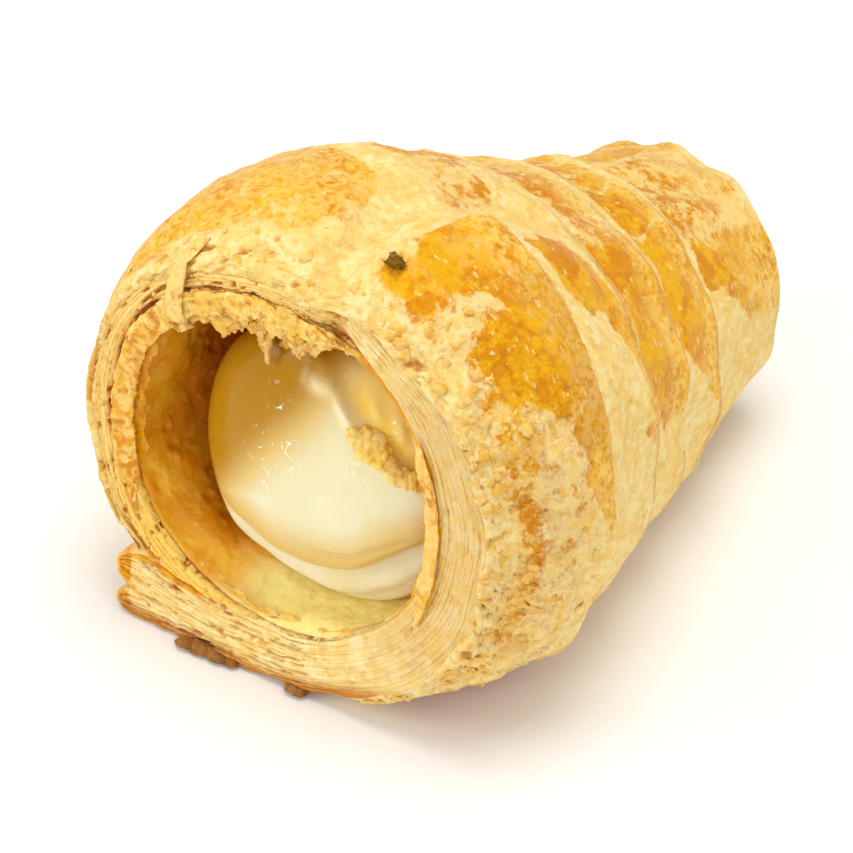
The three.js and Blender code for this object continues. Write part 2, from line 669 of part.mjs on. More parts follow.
const tail = Array.from({ length: TAIL_LAYERS }, (_, level) => tailSheet(level));
const loose = [tornStrip(), ...crustFlakes(), ...baseDrips(), scorchedCrumb()];
const joined = wasm.Manifold.union([woundBody(), ...tail, ...loose]);
const dough = withoutPockets(joined.trimByPlane([0, 0, 1], 0)).simplify(MESH_TOLERANCE);
const filling = wasm.Manifold.union([creamPlug(), ...creamScraps()]);
const cream = filling.intersect(creamMould()).simplify(MESH_TOLERANCE);

// The origin is under the middle of the whole, on the plane it rests on.
const box = dough.boundingBox();
const toOrigin = [-(box.min[0] + box.max[0]) / 2, -(box.min[1] + box.max[1]) / 2, -box.min[2]];

const creamHorn = new THREE.Group();
creamHorn.name = 'cream_horn';
creamHorn.add(meshFrom(dough.translate(toOrigin), 'pastry', PASTRY_COLOUR, PASTRY_ROUGHNESS));
creamHorn.add(meshFrom(cream.translate(toOrigin), 'cream', CREAM_COLOUR, CREAM_ROUGHNESS));

export default creamHorn;
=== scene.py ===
# %% [markdown]
# # A cream horn, dressed
# A cream horn is one long strip of puff pastry wound on a metal cone, brushed with egg, baked on its side and
# filled with cream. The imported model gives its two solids, the wound dough and the cream, with every size and
# place. This lesson builds the surfaces that a baker would know it by: turns that overlap, egg glaze that
# pools in blisters, the layered cut edge round the mouth, flakes and crumbs, and the soft face of the cream.
# Lengths are in millimetres here, and turned into metres once, in the meshes.

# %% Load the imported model
import math
import bpy
import numpy as np
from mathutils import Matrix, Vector, noise


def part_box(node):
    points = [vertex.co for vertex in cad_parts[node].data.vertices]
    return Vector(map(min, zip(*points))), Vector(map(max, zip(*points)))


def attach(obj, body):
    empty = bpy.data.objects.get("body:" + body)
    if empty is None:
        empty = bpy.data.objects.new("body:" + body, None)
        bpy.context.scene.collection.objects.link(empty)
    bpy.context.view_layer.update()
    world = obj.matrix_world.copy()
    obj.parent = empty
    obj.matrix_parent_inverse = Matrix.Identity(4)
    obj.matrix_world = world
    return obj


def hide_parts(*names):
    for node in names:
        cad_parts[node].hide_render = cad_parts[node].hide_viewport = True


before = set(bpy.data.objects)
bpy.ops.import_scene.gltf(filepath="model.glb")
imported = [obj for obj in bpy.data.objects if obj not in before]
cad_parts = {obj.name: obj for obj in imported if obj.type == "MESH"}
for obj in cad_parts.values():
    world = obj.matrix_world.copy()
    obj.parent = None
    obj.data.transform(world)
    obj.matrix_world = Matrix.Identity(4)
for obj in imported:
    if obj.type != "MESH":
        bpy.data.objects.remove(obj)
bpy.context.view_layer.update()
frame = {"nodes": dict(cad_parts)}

MM = 0.001
dough_low, dough_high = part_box("pastry")
print("dough, mm:", [round((b - a) / MM, 1) for a, b in zip(dough_low, dough_high)])

# %% [markdown]
# ## The rule of the horn
# The dough follows a cone that bends a little sideways, and its section is a soft square that was pressed
# flat where it lay on the tray. Every piece below is placed by two numbers: the distance along the horn from
# the mouth, and the angle round it seen from the mouth, with 0 at +X and 90 at the top. One function turns
# these into a place in space, so a blister, a flake and a fold all sit on the same surface without fitting by
# eye.

# %% Sizes of the horn
MOUTH_X, MOUTH_Y = -1.19, -43.18  # where the centre line meets the mouth
BODY_LENGTH = 86.0  # from the mouth to where the tip rounds over
TIP_ROUND = 6.0
SIDE_BOW = 1.7  # how far the centre line bows sideways
TIP_SIDE_SHIFT = 0.2
SECTION_POWER = 2.2  # 2 is a round section, more is a squarer one
BASE_SHARE = 0.875  # height of the centre line over the tray, as a share of the radius
MOUTH_LIFT = 4.4  # the mouth stands higher, and sinks to that share over this length
MOUTH_LIFT_LENGTH = 25.0
# (distance from the mouth, radius)
OUTER_RADIUS = [(0, 30.7), (8.6, 34.5), (21.5, 35.5), (36.2, 31.1), (51.7, 26.5), (68.9, 22.6), (86, 18.9)]
HOLLOW_RADIUS = [(0, 23.6), (10, 22.8), (20, 21), (32, 18), (46, 14.4), (60, 11), (68, 8.6)]
HOLLOW_SHIFT_X = -1.2  # the hollow's centre at the mouth, from the horn's own
HOLLOW_SHIFT_Z = 1.0
# (distance from the mouth, degrees that a section is turned or tipped)
TURN_YAW = [(0, 4.6), (34, -7.9), (86, -6.5)]
TURN_PITCH = [(0, 5), (34, 4), (86, 7)]
print("horn:", BODY_LENGTH + TIP_ROUND, "mm along its centre line")


# %% Curves and ramps
def smooth_curve(knots):
    """A curve through (place, value) pairs that doesn't overshoot them."""
    at, value = np.array(knots, float).T
    gaps = np.diff(value) / np.diff(at)
    slopes = np.concatenate([gaps[:1], np.zeros(len(gaps) - 1), gaps[-1:]])
    for i in range(1, len(gaps)):
        together = gaps[i - 1] * gaps[i]
        slopes[i] = 2 * together / (gaps[i - 1] + gaps[i]) if together > 0 else 0.0

    def curve(where):
        where = np.clip(np.asarray(where, float), at[0], at[-1])
        i = np.clip(np.searchsorted(at, where, side="right") - 1, 0, len(gaps) - 1)
        width = at[i + 1] - at[i]
        t = (where - at[i]) / width
        start = (1 + 2 * t) * (1 - t) ** 2 * value[i] + t * (1 - t) ** 2 * width * slopes[i]
        return start + t * t * (3 - 2 * t) * value[i + 1] + t * t * (t - 1) * width * slopes[i + 1]

    return curve


def ramp(start, end, value):
    """0 before start, 1 after end, smooth between."""
    t = np.clip((np.asarray(value, float) - start) / (end - start), 0, 1)
    return t * t * (3 - 2 * t)


def mix(a, b, t):
    """a where t is 0, b where it is 1, straight between."""
    return a + (b - a) * t


def between(angle, other):
    """The signed difference between two angles, in degrees."""
    return (np.asarray(angle, float) - other + 540) % 360 - 180


print("a quarter up a ramp:", float(ramp(0, 1, 0.25)), "and from 350 to 10 degrees:", float(between(10, 350)))

# %% Any place on the horn
outer_radius = smooth_curve(OUTER_RADIUS)
hollow_radius = smooth_curve(HOLLOW_RADIUS)
turn_yaw = smooth_curve(TURN_YAW)
turn_pitch = smooth_curve(TURN_PITCH)


def horn_point(s, angle, radius, out=0.0, shift_x=0.0, shift_z=0.0):
    """Places in mm, at a distance s along the horn, an angle round it and a radius from its centre line.

    out moves a place straight out of the mouth, and the shifts move it across the section.
    """
    s, angle, radius, out, shift_x, shift_z = np.broadcast_arrays(s, angle, radius, out, shift_x, shift_z)
    t = s / BODY_LENGTH
    yaw, pitch, turn = np.radians(turn_yaw(s)), np.radians(turn_pitch(s)), np.radians(angle)
    centre = np.stack([
        MOUTH_X + 4 * SIDE_BOW * t * (1 - t) + TIP_SIDE_SHIFT * t,
        MOUTH_Y + s,
        outer_radius(s) * BASE_SHARE + MOUTH_LIFT * np.maximum(0, 1 - s / MOUTH_LIFT_LENGTH),
    ], -1)
    side = np.stack([np.cos(yaw), np.sin(yaw), np.zeros_like(yaw)], -1)
    mouthward = np.stack([np.sin(yaw) * np.cos(pitch), -np.cos(yaw) * np.cos(pitch), np.sin(pitch)], -1)
    up = -np.cross(side, mouthward)
    corner = np.abs(np.cos(turn)) ** SECTION_POWER + np.abs(np.sin(turn)) ** SECTION_POWER
    reach = radius * corner ** (-1 / SECTION_POWER)
    across = (reach * np.cos(turn) + shift_x)[..., None] * side
    upward = (reach * np.sin(turn) + shift_z)[..., None] * up
    return centre + across + upward + out[..., None] * mouthward


for name, s in (("mouth", 0), ("widest", 20), ("tip", 86)):
    width = horn_point(s, 0, outer_radius(s))[0] - horn_point(s, 180, outer_radius(s))[0]
    print(f"{name}: {width:.1f} mm across")

# %% [markdown]
# ## How the strip lies
# Each turn of the strip rises towards its far edge and steps down on to the next turn. The last turn starts
# at the top of the mouth, runs down the right side and ends tucked under the base. Between it and the turn
# before lies a torn valley of pale dough, and the other side of the mouth swells into a lobe. All of this is
# one height over the cone, so every other rule can ask how high the dough is at any place.

# %% Sizes of the strip
SEAMS = [40.0, 52.3, 63.5]  # where a turn drops on to the next
SEAM_STEP = 1.7
SEAM_WANDER = 0.42
LAST_TURN_WIDTH = 23.4
LAST_TURN_START = 84.0  # degrees at the mouth, and how far it swings down along its width
LAST_TURN_TAPER = 12.0
LAST_TURN_RISE = 0.8
SWELL_ANGLE = 181.0
SWELL = 2.5
SWELL_LENGTH = 30.0
CRUST_RELIEF = 0.16
# (distance from the mouth, degrees or mm)
VALLEY_ANGLE = smooth_curve([(0, 81), (10, 83), (17, 85), (24, 79), (36, 69)])
VALLEY_HALF_WIDTH = smooth_curve([(0, 4), (10, 6), (18, 10), (28, 8), (38, 5)])
VALLEY_DEPTH = smooth_curve([(0, 0.8), (10, 2.1), (20, 2.5), (30, 1.5), (42, 0)])
LOBE_EDGE = smooth_curve([(0, 85), (6.5, 84.5), (10, 87), (13.9, 93), (17, 101), (22, 108)])
LOBE_STEP = 0.9
print("step between turns:", SEAM_STEP, "mm; last turn stands", 2 * LAST_TURN_RISE, "mm proud")


# %% Uneven waves
def random_source(seed):
    """Repeatable random numbers from 0 to 1, the same that shaped the solids."""
    state = seed
    while True:
        state = state * 16807 % 2147483647
        yield state / 2147483647


def wave_sum(seed, count, longest):
    """Uneven relief from a few waves that close up round the horn."""
    draw = random_source(seed)
    waves = [(math.ceil(next(draw) * longest), (next(draw) - 0.5) * 1.3, next(draw) * 2 * math.pi)
             for _ in range(count)]
    return lambda angle, s: sum(np.sin(n * np.radians(angle) + k * s + phase) for n, k, phase in waves)


crust_waves = wave_sum(41, 9, 13)
wall_waves = wave_sum(87, 9, 11)
edge_waves = wave_sum(23, 5, 9)
seam_waves = wave_sum(12, 3, 4)
print("crust waves at the top of the mouth:", round(float(crust_waves(90.0, 0.0)), 2))


# %% The height of the strip over the cone
def last_turn_start(s):
    """The angle at which the last turn starts, which swings down away from the mouth."""
    return LAST_TURN_START - LAST_TURN_TAPER * np.sqrt(np.clip(s / LAST_TURN_WIDTH, 0, 1))


def on_last_turn(angle, s):
    """1 on the last turn, 0 off it."""
    below = -between(angle, last_turn_start(s))
    wander = 0.35 * seam_waves(angle * 3, 9.0)
    along = 1 - ramp(LAST_TURN_WIDTH - 0.6, LAST_TURN_WIDTH + 0.9, s + wander * 0.5)
    return ramp(-1, 2.5, below) * (1 - ramp(140, 170, below)) * along


def strip_height(angle, s, u):
    """Height over the cone; u goes from 0 at a turn's near edge to 1 at its far edge."""
    u = np.clip(u, 0, 1)
    step = SEAM_STEP * (u ** 1.4 - 0.45) * (1 - ramp(0.95, 1, u) * 0.15)
    last = LAST_TURN_RISE * (2 * on_last_turn(angle, s) - 1) * (1 - ramp(27, 36, s))
    off = between(angle, VALLEY_ANGLE(s)) / VALLEY_HALF_WIDTH(s)
    valley = VALLEY_DEPTH(s) * np.exp(-off * off)
    facing = np.maximum(0, np.cos(np.radians(between(angle, SWELL_ANGLE))))
    swell = SWELL * facing ** 3 * (1 - ramp(0.3 * SWELL_LENGTH, SWELL_LENGTH, s))
    lobe = LOBE_STEP * (ramp(-1.5, 2.5, between(angle, LOBE_EDGE(s))) - 0.6) * (1 - ramp(12, 22, s))
    lobe = lobe * (1 - ramp(30, 60, np.abs(between(angle, LOBE_EDGE(s)))))
    return step + last + swell + lobe - valley + CRUST_RELIEF * crust_waves(angle, s)


print("middle of the last turn:", round(float(strip_height(30.0, 12.0, 0.5)), 2), "mm over the cone")

# %% [markdown]
# ## Where the egg glaze is
# Egg wash was brushed over the wound horn, so it covers only what stood up and faced the brush. It stops
# where a turn tucks under the next, along cracks, and low on the sides where the dough stays pale. Each
# stroke of the brush is a patch here: a range of angles, and the distances along the horn where it begins and
# ends. The patches have soft edges, and noise in the material makes those edges ragged, as glaze is.

# %% Brush strokes of glaze
# lowest angle, highest angle, begins at (angle, s) knots, ends at (angle, s) knots, strength
GLAZE_STROKES = [
    (29, 50, [(29, 13), (35, 5.5), (50, 5)], [(29, 22.6), (50, 23)], 1.0),
    (48, 59, [(48, 12), (54, 14), (59, 10)], [(48, 23), (59, 23)], 1.0),
    (57, 75, [(57, 3), (75, 4)], [(57, 23.2), (75, 23)], 0.95),
    (-9, 28, [(-9, 22.6), (4, 20), (16, 17.5), (28, 14.5)], [(-9, 24), (28, 22.8)], 0.95),
    (-38, 56, [(-38, 3), (30, 3.5), (56, 3)], [(-38, 17), (56, 22)], 0.28),
    (-24, 42, [(-24, 1.5), (42, 2)], [(-24, 6), (0, 7), (42, 7)], 0.44),
    (8, 64, [(8, 38.4), (30, 36.2), (42, 33.2), (50, 28.4), (64, 27)], [(8, 40), (45, 39.5), (64, 36)], 0.85),
    (88, 126, [(88, 4), (126, 2)], [(88, 12), (98, 20), (126, 22)], 0.54),
    (122, 206, [(122, 1), (140, -2), (206, -3)], [(122, 30), (206, 33)], 0.85),
    (78, 99, [(78, 21), (99, 27)], [(78, 31), (99, 37)], 0.42),
    (97, 128, [(97, 25), (128, 24)], [(97, 38), (128, 37)], 0.54),
    (8, 62, [(8, 43), (16, 41), (62, 40.6)], [(8, 52), (62, 52)], 1.0),
    (60, 112, [(60, 42), (112, 42)], [(60, 52), (112, 52)], 0.42),
    (112, 190, [(112, 41), (190, 42)], [(112, 52), (190, 52)], 0.85),
    (4, 63, [(4, 62), (18, 58.5), (32, 53.4), (63, 52.9)], [(4, 63.3), (63, 63.2)], 1.0),
    (66, 82, [(66, 53), (82, 53)], [(66, 62.8), (82, 62.8)], 0.85),
    (82, 110, [(82, 53.4), (110, 53.6)], [(82, 62.8), (110, 62.8)], 0.54),
    (109, 188, [(109, 53.4), (188, 54)], [(109, 62.8), (188, 62.8)], 0.85),
    (17, 53, [(17, 82), (24, 74), (36, 67), (53, 66)], [(17, 88), (53, 87)], 0.62),
    (50, 102, [(50, 65), (102, 65)], [(50, 86), (102, 86)], 0.42),
    (100, 185, [(100, 65), (185, 66)], [(100, 88), (185, 88)], 0.7),
]
ROUND_SOFTNESS, ALONG_SOFTNESS = 3.2, 0.9
MOUTH_SOFTNESS = 2.4  # a stroke fades in more slowly near the mouth, where the dough is torn
STROKE_WANDER = 0.8
WANDER_NOISE = [(0.13, 3.0), (0.5, 0.8)]  # (pace per mm, reach)
ROUND_WANDER = 1.4
print(len(GLAZE_STROKES), "strokes of glaze")


# %% How strongly each place was brushed
def uneven_at(angle, s, mm_per_degree):
    """How far, in mm, the edge of a stroke strays: noise on the horn's own surface."""
    angle, s = np.broadcast_arrays(np.asarray(angle, float), np.asarray(s, float))
    turn, reach = np.radians(angle), mm_per_degree * 180 / math.pi
    places = zip((reach * np.cos(turn)).ravel(), (reach * np.sin(turn)).ravel(), s.ravel())
    stray = [sum(noise.noise(Vector(p) * pace) * far for pace, far in WANDER_NOISE) for p in places]
    return STROKE_WANDER * np.array(stray).reshape(angle.shape)


def glaze_at(angle, s):
    """How strongly each place was brushed, from 0 to 1."""
    glaze = np.zeros(np.broadcast(angle, s).shape)
    mm_per_degree = outer_radius(s) * math.pi / 180
    wander = uneven_at(angle, s, mm_per_degree)
    angle = angle + ROUND_WANDER * wander / mm_per_degree
    for low, high, begins, ends, strength in GLAZE_STROKES:
        middle, half = (low + high) / 2, (high - low) / 2
        off = between(angle, middle)
        here = np.clip(middle + off, low, high)
        begin, end = smooth_curve(begins)(here), smooth_curve(ends)(here)
        soft = np.where(begin < LAST_TURN_WIDTH, MOUTH_SOFTNESS, ALONG_SOFTNESS)
        sides = ramp(-ROUND_SOFTNESS, ROUND_SOFTNESS, (half - np.abs(off)) * mm_per_degree)
        edge = sides * ramp(-1, 1, (s + wander - begin) / soft)
        glaze = np.maximum(glaze, strength * edge * ramp(-ALONG_SOFTNESS, ALONG_SOFTNESS, end - s))
    return glaze


print("glaze on the last turn:", round(float(glaze_at(np.array([40.0]), np.array([18.0]))[0]), 2))

# %% How brown the oven made the dough
EDGE_BROWN, LATE_BROWN = 0.62, 0.52
EDGE_FACES, LATE_FACES = 15, 38  # the degrees round which those edges are brownest


def browned_at(angle, s):
    """How brown the dough is: most where it lay on the tray, a little at the turns' far edges."""
    base = (1 - ramp(34, 58, np.abs(between(angle, -90)))) * ramp(1, 7, s) * (1 - ramp(BODY_LENGTH, 89, s))
    edge = np.zeros(np.broadcast(angle, s).shape)
    for far in (LAST_TURN_WIDTH, *SEAMS):
        edge = np.maximum(edge, 1 - ramp(0.1, 1.0, np.abs(s - far + 0.35)))
    edge = EDGE_BROWN * edge * ramp(95, 45, np.abs(between(angle, EDGE_FACES)))
    late = LATE_BROWN * ramp(12, 20, s) * (1 - ramp(23, 23.8, s))
    late = late * ramp(32, 12, np.abs(between(angle, LATE_FACES)))
    return np.maximum.reduce([base, edge, late])


print("brown under the horn:", float(browned_at(np.array([-90.0]), np.array([30.0]))[0]))

# %% [markdown]
# ## Tools for meshes
# A piece of the horn is a grid of points that closes on itself round the horn, so one small function makes
# any of them as a closed skin. It also writes what the relief and the colours need to know on each point,
# which keeps shape and colour in step. Modelling each piece by hand would give the same forms, but none of
# the numbers.

# %% What touches the tray
FLOOR_SOFTNESS = 0.6


def rest_on_floor(mesh):
    """Presses what would be under the floor flat on it, as the tray did."""
    places = np.zeros(len(mesh.vertices) * 3)
    mesh.vertices.foreach_get("co", places)
    height = places[2::3] / MM
    pressed = FLOOR_SOFTNESS * np.exp(np.minimum(height / FLOOR_SOFTNESS - 1, 0))
    places[2::3] = np.where(height < FLOOR_SOFTNESS, pressed, height) * MM
    mesh.vertices.foreach_set("co", places)
    mesh.update()


print("the tray presses what is lower than", FLOOR_SOFTNESS, "mm")


# %% A closed skin from rings of points
KINDS = {1: ("FLOAT", "value"), 3: ("FLOAT_VECTOR", "vector")}  # by how many numbers a point keeps


def write_values(mesh, values):
    """Keeps a number or a vector at each point of a mesh, under its name."""
    for key, value in values.items():
        kind, field = KINDS[value.shape[1]]
        layer = mesh.attributes.new(key, kind, "POINT")
        layer.data.foreach_set(field, value.astype(np.float32).ravel())


def faces_outward(points, faces):
    """The faces, turned round if they enclose less than nothing."""
    corners = points[np.array([(f[0], f[i], f[i + 1]) for f in faces for i in range(1, len(f) - 1)])]
    volume = np.einsum("ij,ij->i", corners[:, 0], np.cross(corners[:, 1], corners[:, 2])).sum()
    return faces if volume > 0 else [face[::-1] for face in faces]


def mesh_from(name, points, faces, values):
    """A smooth mesh from points in metres, with what it keeps."""
    mesh = bpy.data.meshes.new(name)
    mesh.from_pydata(points.tolist(), [], faces)
    mesh.polygons.foreach_set("use_smooth", [True] * len(mesh.polygons))
    write_values(mesh, values)
    mesh.update()
    return mesh


def skin_mesh(name, rings, values=None, ends="joined"):
    """A mesh from rings of points in mm. Its ends are joined to each other, or each closed on a point."""
    rings = np.asarray(rings, float)
    rows, columns = rings.shape[:2]
    points = rings.reshape(-1, 3)
    values = {key: np.broadcast_to(value, rings.shape[:2] + np.shape(value)[2:]).reshape(rows * columns, -1)
              for key, value in (values or {}).items()}
    row = np.arange(rows if ends == "joined" else rows - 1)[:, None] * columns
    next_row = (row + columns) % (rows * columns)
    column = np.arange(columns)[None, :]
    next_column = (column + 1) % columns
    corners = [row + column, row + next_column, next_row + next_column, next_row + column]
    faces = np.stack(corners, -1).reshape(-1, 4).tolist()
    if ends == "points":
        points = np.concatenate([points, [rings[0].mean(0), rings[-1].mean(0)]])
        values = {key: np.concatenate([value, [value[:columns].mean(0), value[-columns:].mean(0)]])
                  for key, value in values.items()}
        top, bottom, start = rows * columns, rows * columns + 1, (rows - 1) * columns
        for i in range(columns):
            j = (i + 1) % columns
            faces.append([top, j, i])
            faces.append([bottom, start + i, start + j])
    return mesh_from(name, points * MM, faces_outward(points, faces), values)


print("a point keeps:", ", ".join(kind for kind, _ in KINDS.values()))


# %% Several meshes as one
def numbers(mesh, name, width=1):
    """What a mesh keeps under a name: a number at each point, or a row of width numbers."""
    values = np.zeros(len(mesh.vertices) * width, np.float32)
    mesh.attributes[name].data.foreach_get(KINDS[width][1], values)
    return values if width == 1 else values.reshape(-1, width)


def joined(name, meshes):
    """Several meshes as one, with all that they keep."""
    points, faces, values, first = [], [], {}, 0
    widths = {kind: width for width, (kind, _) in KINDS.items()}
    for mesh in meshes:
        places = np.zeros(len(mesh.vertices) * 3)
        mesh.vertices.foreach_get("co", places)
        points.append(places.reshape(-1, 3))
        for layer in mesh.attributes:
            if layer.domain == "POINT" and layer.data_type in widths and layer.name != "position":
                kept = numbers(mesh, layer.name, widths[layer.data_type])
                values.setdefault(layer.name, []).append(kept.reshape(len(mesh.vertices), -1))
        faces += [[first + v for v in p.vertices] for p in mesh.polygons]
        first += len(mesh.vertices)
    return mesh_from(name, np.concatenate(points), faces, {k: np.concatenate(v) for k, v in values.items()})


print("meshes so far:", len(bpy.data.meshes))

# %% Placing a piece
triangles_of = {}


def add_object(name, data):
    """A new object in the scene, made of a mesh, a lamp or a camera."""
    made = bpy.data.objects.new(name, data)
    bpy.context.scene.collection.objects.link(made)
    return made


def place_piece(name, mesh, material, stands_for="pastry"):
    """Puts a finished mesh in the scene, on the horn's one body."""
    rest_on_floor(mesh)
    piece = add_object(name, mesh)
    mesh.materials.clear()
    mesh.materials.append(material)
    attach(piece, "root")
    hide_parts(stands_for)
    triangles_of[name] = sum(len(p.vertices) - 2 for p in mesh.polygons)
    print(f"{name}: {triangles_of[name]} triangles")


print("nodes to replace:", ", ".join(frame["nodes"]))

# %% [markdown]
# ## Tools for node trees
# A node tree is clearest in Blender's own editor, but a script has to build it. A wire that understands plus
# and times keeps a formula readable: each sum adds the Math node that it names.

# %% Wires
class Wire:
    """A value on its way through a node tree, with arithmetic."""

    def __init__(self, socket):
        self.socket = socket

    @property
    def tree(self):
        return self.socket.id_data

    def __add__(self, other):
        return calc("ADD", self, other)

    def __sub__(self, other):
        return calc("SUBTRACT", self, other)

    def __rsub__(self, other):
        return calc("SUBTRACT", other, self)

    def __mul__(self, other):
        return calc("MULTIPLY", self, other)

    def __truediv__(self, other):
        return calc("DIVIDE", self, other)

    def __rtruediv__(self, other):
        return calc("DIVIDE", other, self)

    __radd__ = __add__
    __rmul__ = __mul__


def feed(socket, value):
    """Links a wire to a socket, or sets the socket to a plain value."""
    if isinstance(value, Wire):
        value.tree.links.new(value.socket, socket)
    else:
        socket.default_value = value


def tree_of(*values):
    """The tree of the first wire among the values."""
    return next(value.tree for value in values if isinstance(value, Wire))


def calc(operation, *values):
    """A Math node in the tree of its values."""
    node = tree_of(*values).nodes.new("ShaderNodeMath")
    node.operation = operation
    for i, value in enumerate(values):
        feed(node.inputs[i], value)
    return Wire(node.outputs[0])


print("a wire can be added, subtracted, multiplied and divided")


# %% Nodes
def add_node(tree, kind, settings=None, **inputs):
    """Adds a node. An input's name has _ for a space, or is in_ and its number."""
    node = tree.nodes.new(kind)
    for key, value in (settings or {}).items():
        setattr(node, key, value)
    for key, value in inputs.items():
        if key.startswith("in_"):
            feed(node.inputs[int(key[3:])], value)
        else:
            wanted = key.replace("_", " ")
            feed(next(s for s in node.inputs if s.name == wanted and s.enabled), value)
    return node


def wire(node, output=0):
    """The named or numbered output of a node."""
    if isinstance(output, int):
        return Wire([s for s in node.outputs if s.enabled][output])
    return Wire(next(s for s in node.outputs if s.name == output and s.enabled))


def slope(value, start, end, low=0.0, high=1.0):
    """low before start, high after end, smooth between."""
    node = add_node(value.tree, "ShaderNodeMapRange", {"interpolation_type": "SMOOTHSTEP"},
                    Value=value, From_Min=start, From_Max=end, To_Min=low, To_Max=high)
    return wire(node)


def noise_wire(place, scale, detail=2.0, rough=0.5, distortion=0.0):
    """Cloudy noise, its scale in waves per mm."""
    return wire(add_node(place.tree, "ShaderNodeTexNoise", Vector=place, Scale=scale, Detail=detail,
                         Roughness=rough, Distortion=distortion))


def cells_wire(place, scale, feature="F1"):
    """The distance in a pattern of cells, its scale in cells per mm."""
    node = add_node(place.tree, "ShaderNodeTexVoronoi", {"feature": feature}, Vector=place, Scale=scale)
    return wire(node, "Distance")


def vector_wire(x, y, z):
    """A vector from three numbers."""
    return wire(add_node(tree_of(x, y, z), "ShaderNodeCombineXYZ", X=x, Y=y, Z=z))


def scaled(vector, amount):
    """A vector times a number."""
    node = add_node(vector.tree, "ShaderNodeVectorMath", {"operation": "SCALE"}, in_0=vector, Scale=amount)
    return wire(node)


def combined(first, second, operation="ADD"):
    """Two vectors added, or multiplied number by number."""
    node = add_node(first.tree, "ShaderNodeVectorMath", {"operation": operation}, in_0=first, in_1=second)
    return wire(node)


def any_number(seed):
    """A random number from 0 to 1 that belongs to a whole number."""
    return wire(add_node(seed.tree, "ShaderNodeTexWhiteNoise", {"noise_dimensions": "1D"}, W=seed), "Value")


print("a * 2 + b makes two Math nodes")


# %% A tree with named sockets
def new_tree(name, kind, inputs, outputs):
    """A node tree with its sockets: {name: default}, or {name: socket kind} for one without a default."""
    tree = bpy.data.node_groups.new(name, kind)
    for group, side in ((inputs, "INPUT"), (outputs, "OUTPUT")):
        for label, value in group.items():
            if isinstance(value, str):
                tree.interface.new_socket(name=label, in_out=side, socket_type=value)
                continue
            colour = isinstance(value, tuple)
            socket_type = "NodeSocketColor" if colour else "NodeSocketFloat"
            socket = tree.interface.new_socket(name=label, in_out=side, socket_type=socket_type)
            socket.default_value = (*value, 1) if colour else value
    entry = tree.nodes.new("NodeGroupInput")
    exit_node = tree.nodes.new("NodeGroupOutput")
    return tree, {s.name: Wire(s) for s in entry.outputs if s.name}, exit_node


print("node trees so far:", len(bpy.data.node_groups))

# %% [markdown]
# ## Baked relief with Geometry Nodes
# What baking does to the surface of the dough follows a rule: glaze rises in bubbles, the top layer lifts and
# breaks into scales that lie in flat steps, and the sides of a cut show the layers as fine ridges. The rule
# is the same everywhere, and only the heights differ, so it is one Geometry Nodes tree with named inputs. It
# moves each point along its normal and keeps what it did as attributes, which the materials read: pale dough
# shows exactly where a scale broke. A displacement in the material would look alike, but would leave the mesh
# itself smooth.

# %% Bubbles, scales and pits
def bubble_relief(place, size):
    """Round swellings, 1 in the middle of each, gathered in patches."""
    cells = cells_wire(place, 1.0 / size, "SMOOTH_F1")
    bubble = calc("MAXIMUM", 1.0 - cells * 1.5, 0.0)
    return bubble * slope(noise_wire(place, 0.16, 2), 0.35, 0.62)


def scale_relief(place, size, steps=6.0):
    """Flat treads one over the other, 0 at the lowest and 1 at the highest."""
    stairs = noise_wire(place, 1.0 / size, 4, 0.55, 0.5) * steps
    tread = calc("FLOOR", stairs)
    return slope((tread + slope(stairs - tread, 0.0, 0.25)) * (1 / steps), 0.2, 0.8)


def pit_relief(place, size):
    """Small round hollows, 1 in the middle of each, gathered in patches."""
    cells = cells_wire(place, 1.0 / size)
    return slope(cells, 0.34, 0.12) * slope(noise_wire(place, 0.2, 1), 0.45, 0.6)


print("bubbles, scales and pits, from noise and cells")


# %% Layers of a cut
def layer_relief(lie):
    """The sheets on a cut side: their rounded edges, a number of their own, and where a slit opens.

    lie holds the distance along the cut, the place across the sheets counted in sheets, and a third way.
    """
    parts = add_node(lie.tree, "ShaderNodeSeparateXYZ", in_0=lie)
    along, across = wire(parts, "X"), wire(parts, "Y")
    wander_at = vector_wire(along * 0.10, across * 0.16, wire(parts, "Z") * 0.1)
    stack = across + noise_wire(wander_at, 1.0, 3, 0.55) * 3.0
    sheet = calc("FLOOR", stack)
    part = stack - sheet
    own = any_number(sheet)
    round_edge = calc("SQRT", part * (1.0 - part) * 4.0)
    broken = noise_wire(vector_wire(along * 0.33, sheet * 3.7, 0.0), 1.0, 2, 0.6)
    return round_edge, own, slope(broken, 0.57, 0.66)


print("layers of a cut, each with its own number")

# %% The relief tree
# what suits a thin sheet; a thicker piece gives larger ones
RELIEF_SIZES = {
    "Bubble Height": 0.06, "Bubble Size": 1.8, "Scale Step": 0.12, "Scale Size": 1.8, "Pit Depth": 0.06,
    "Pit Size": 1.4, "Layer Height": 0.0, "Grain Height": 0.10, "Grain Size": 0.8, "Shift": 0.0,
}


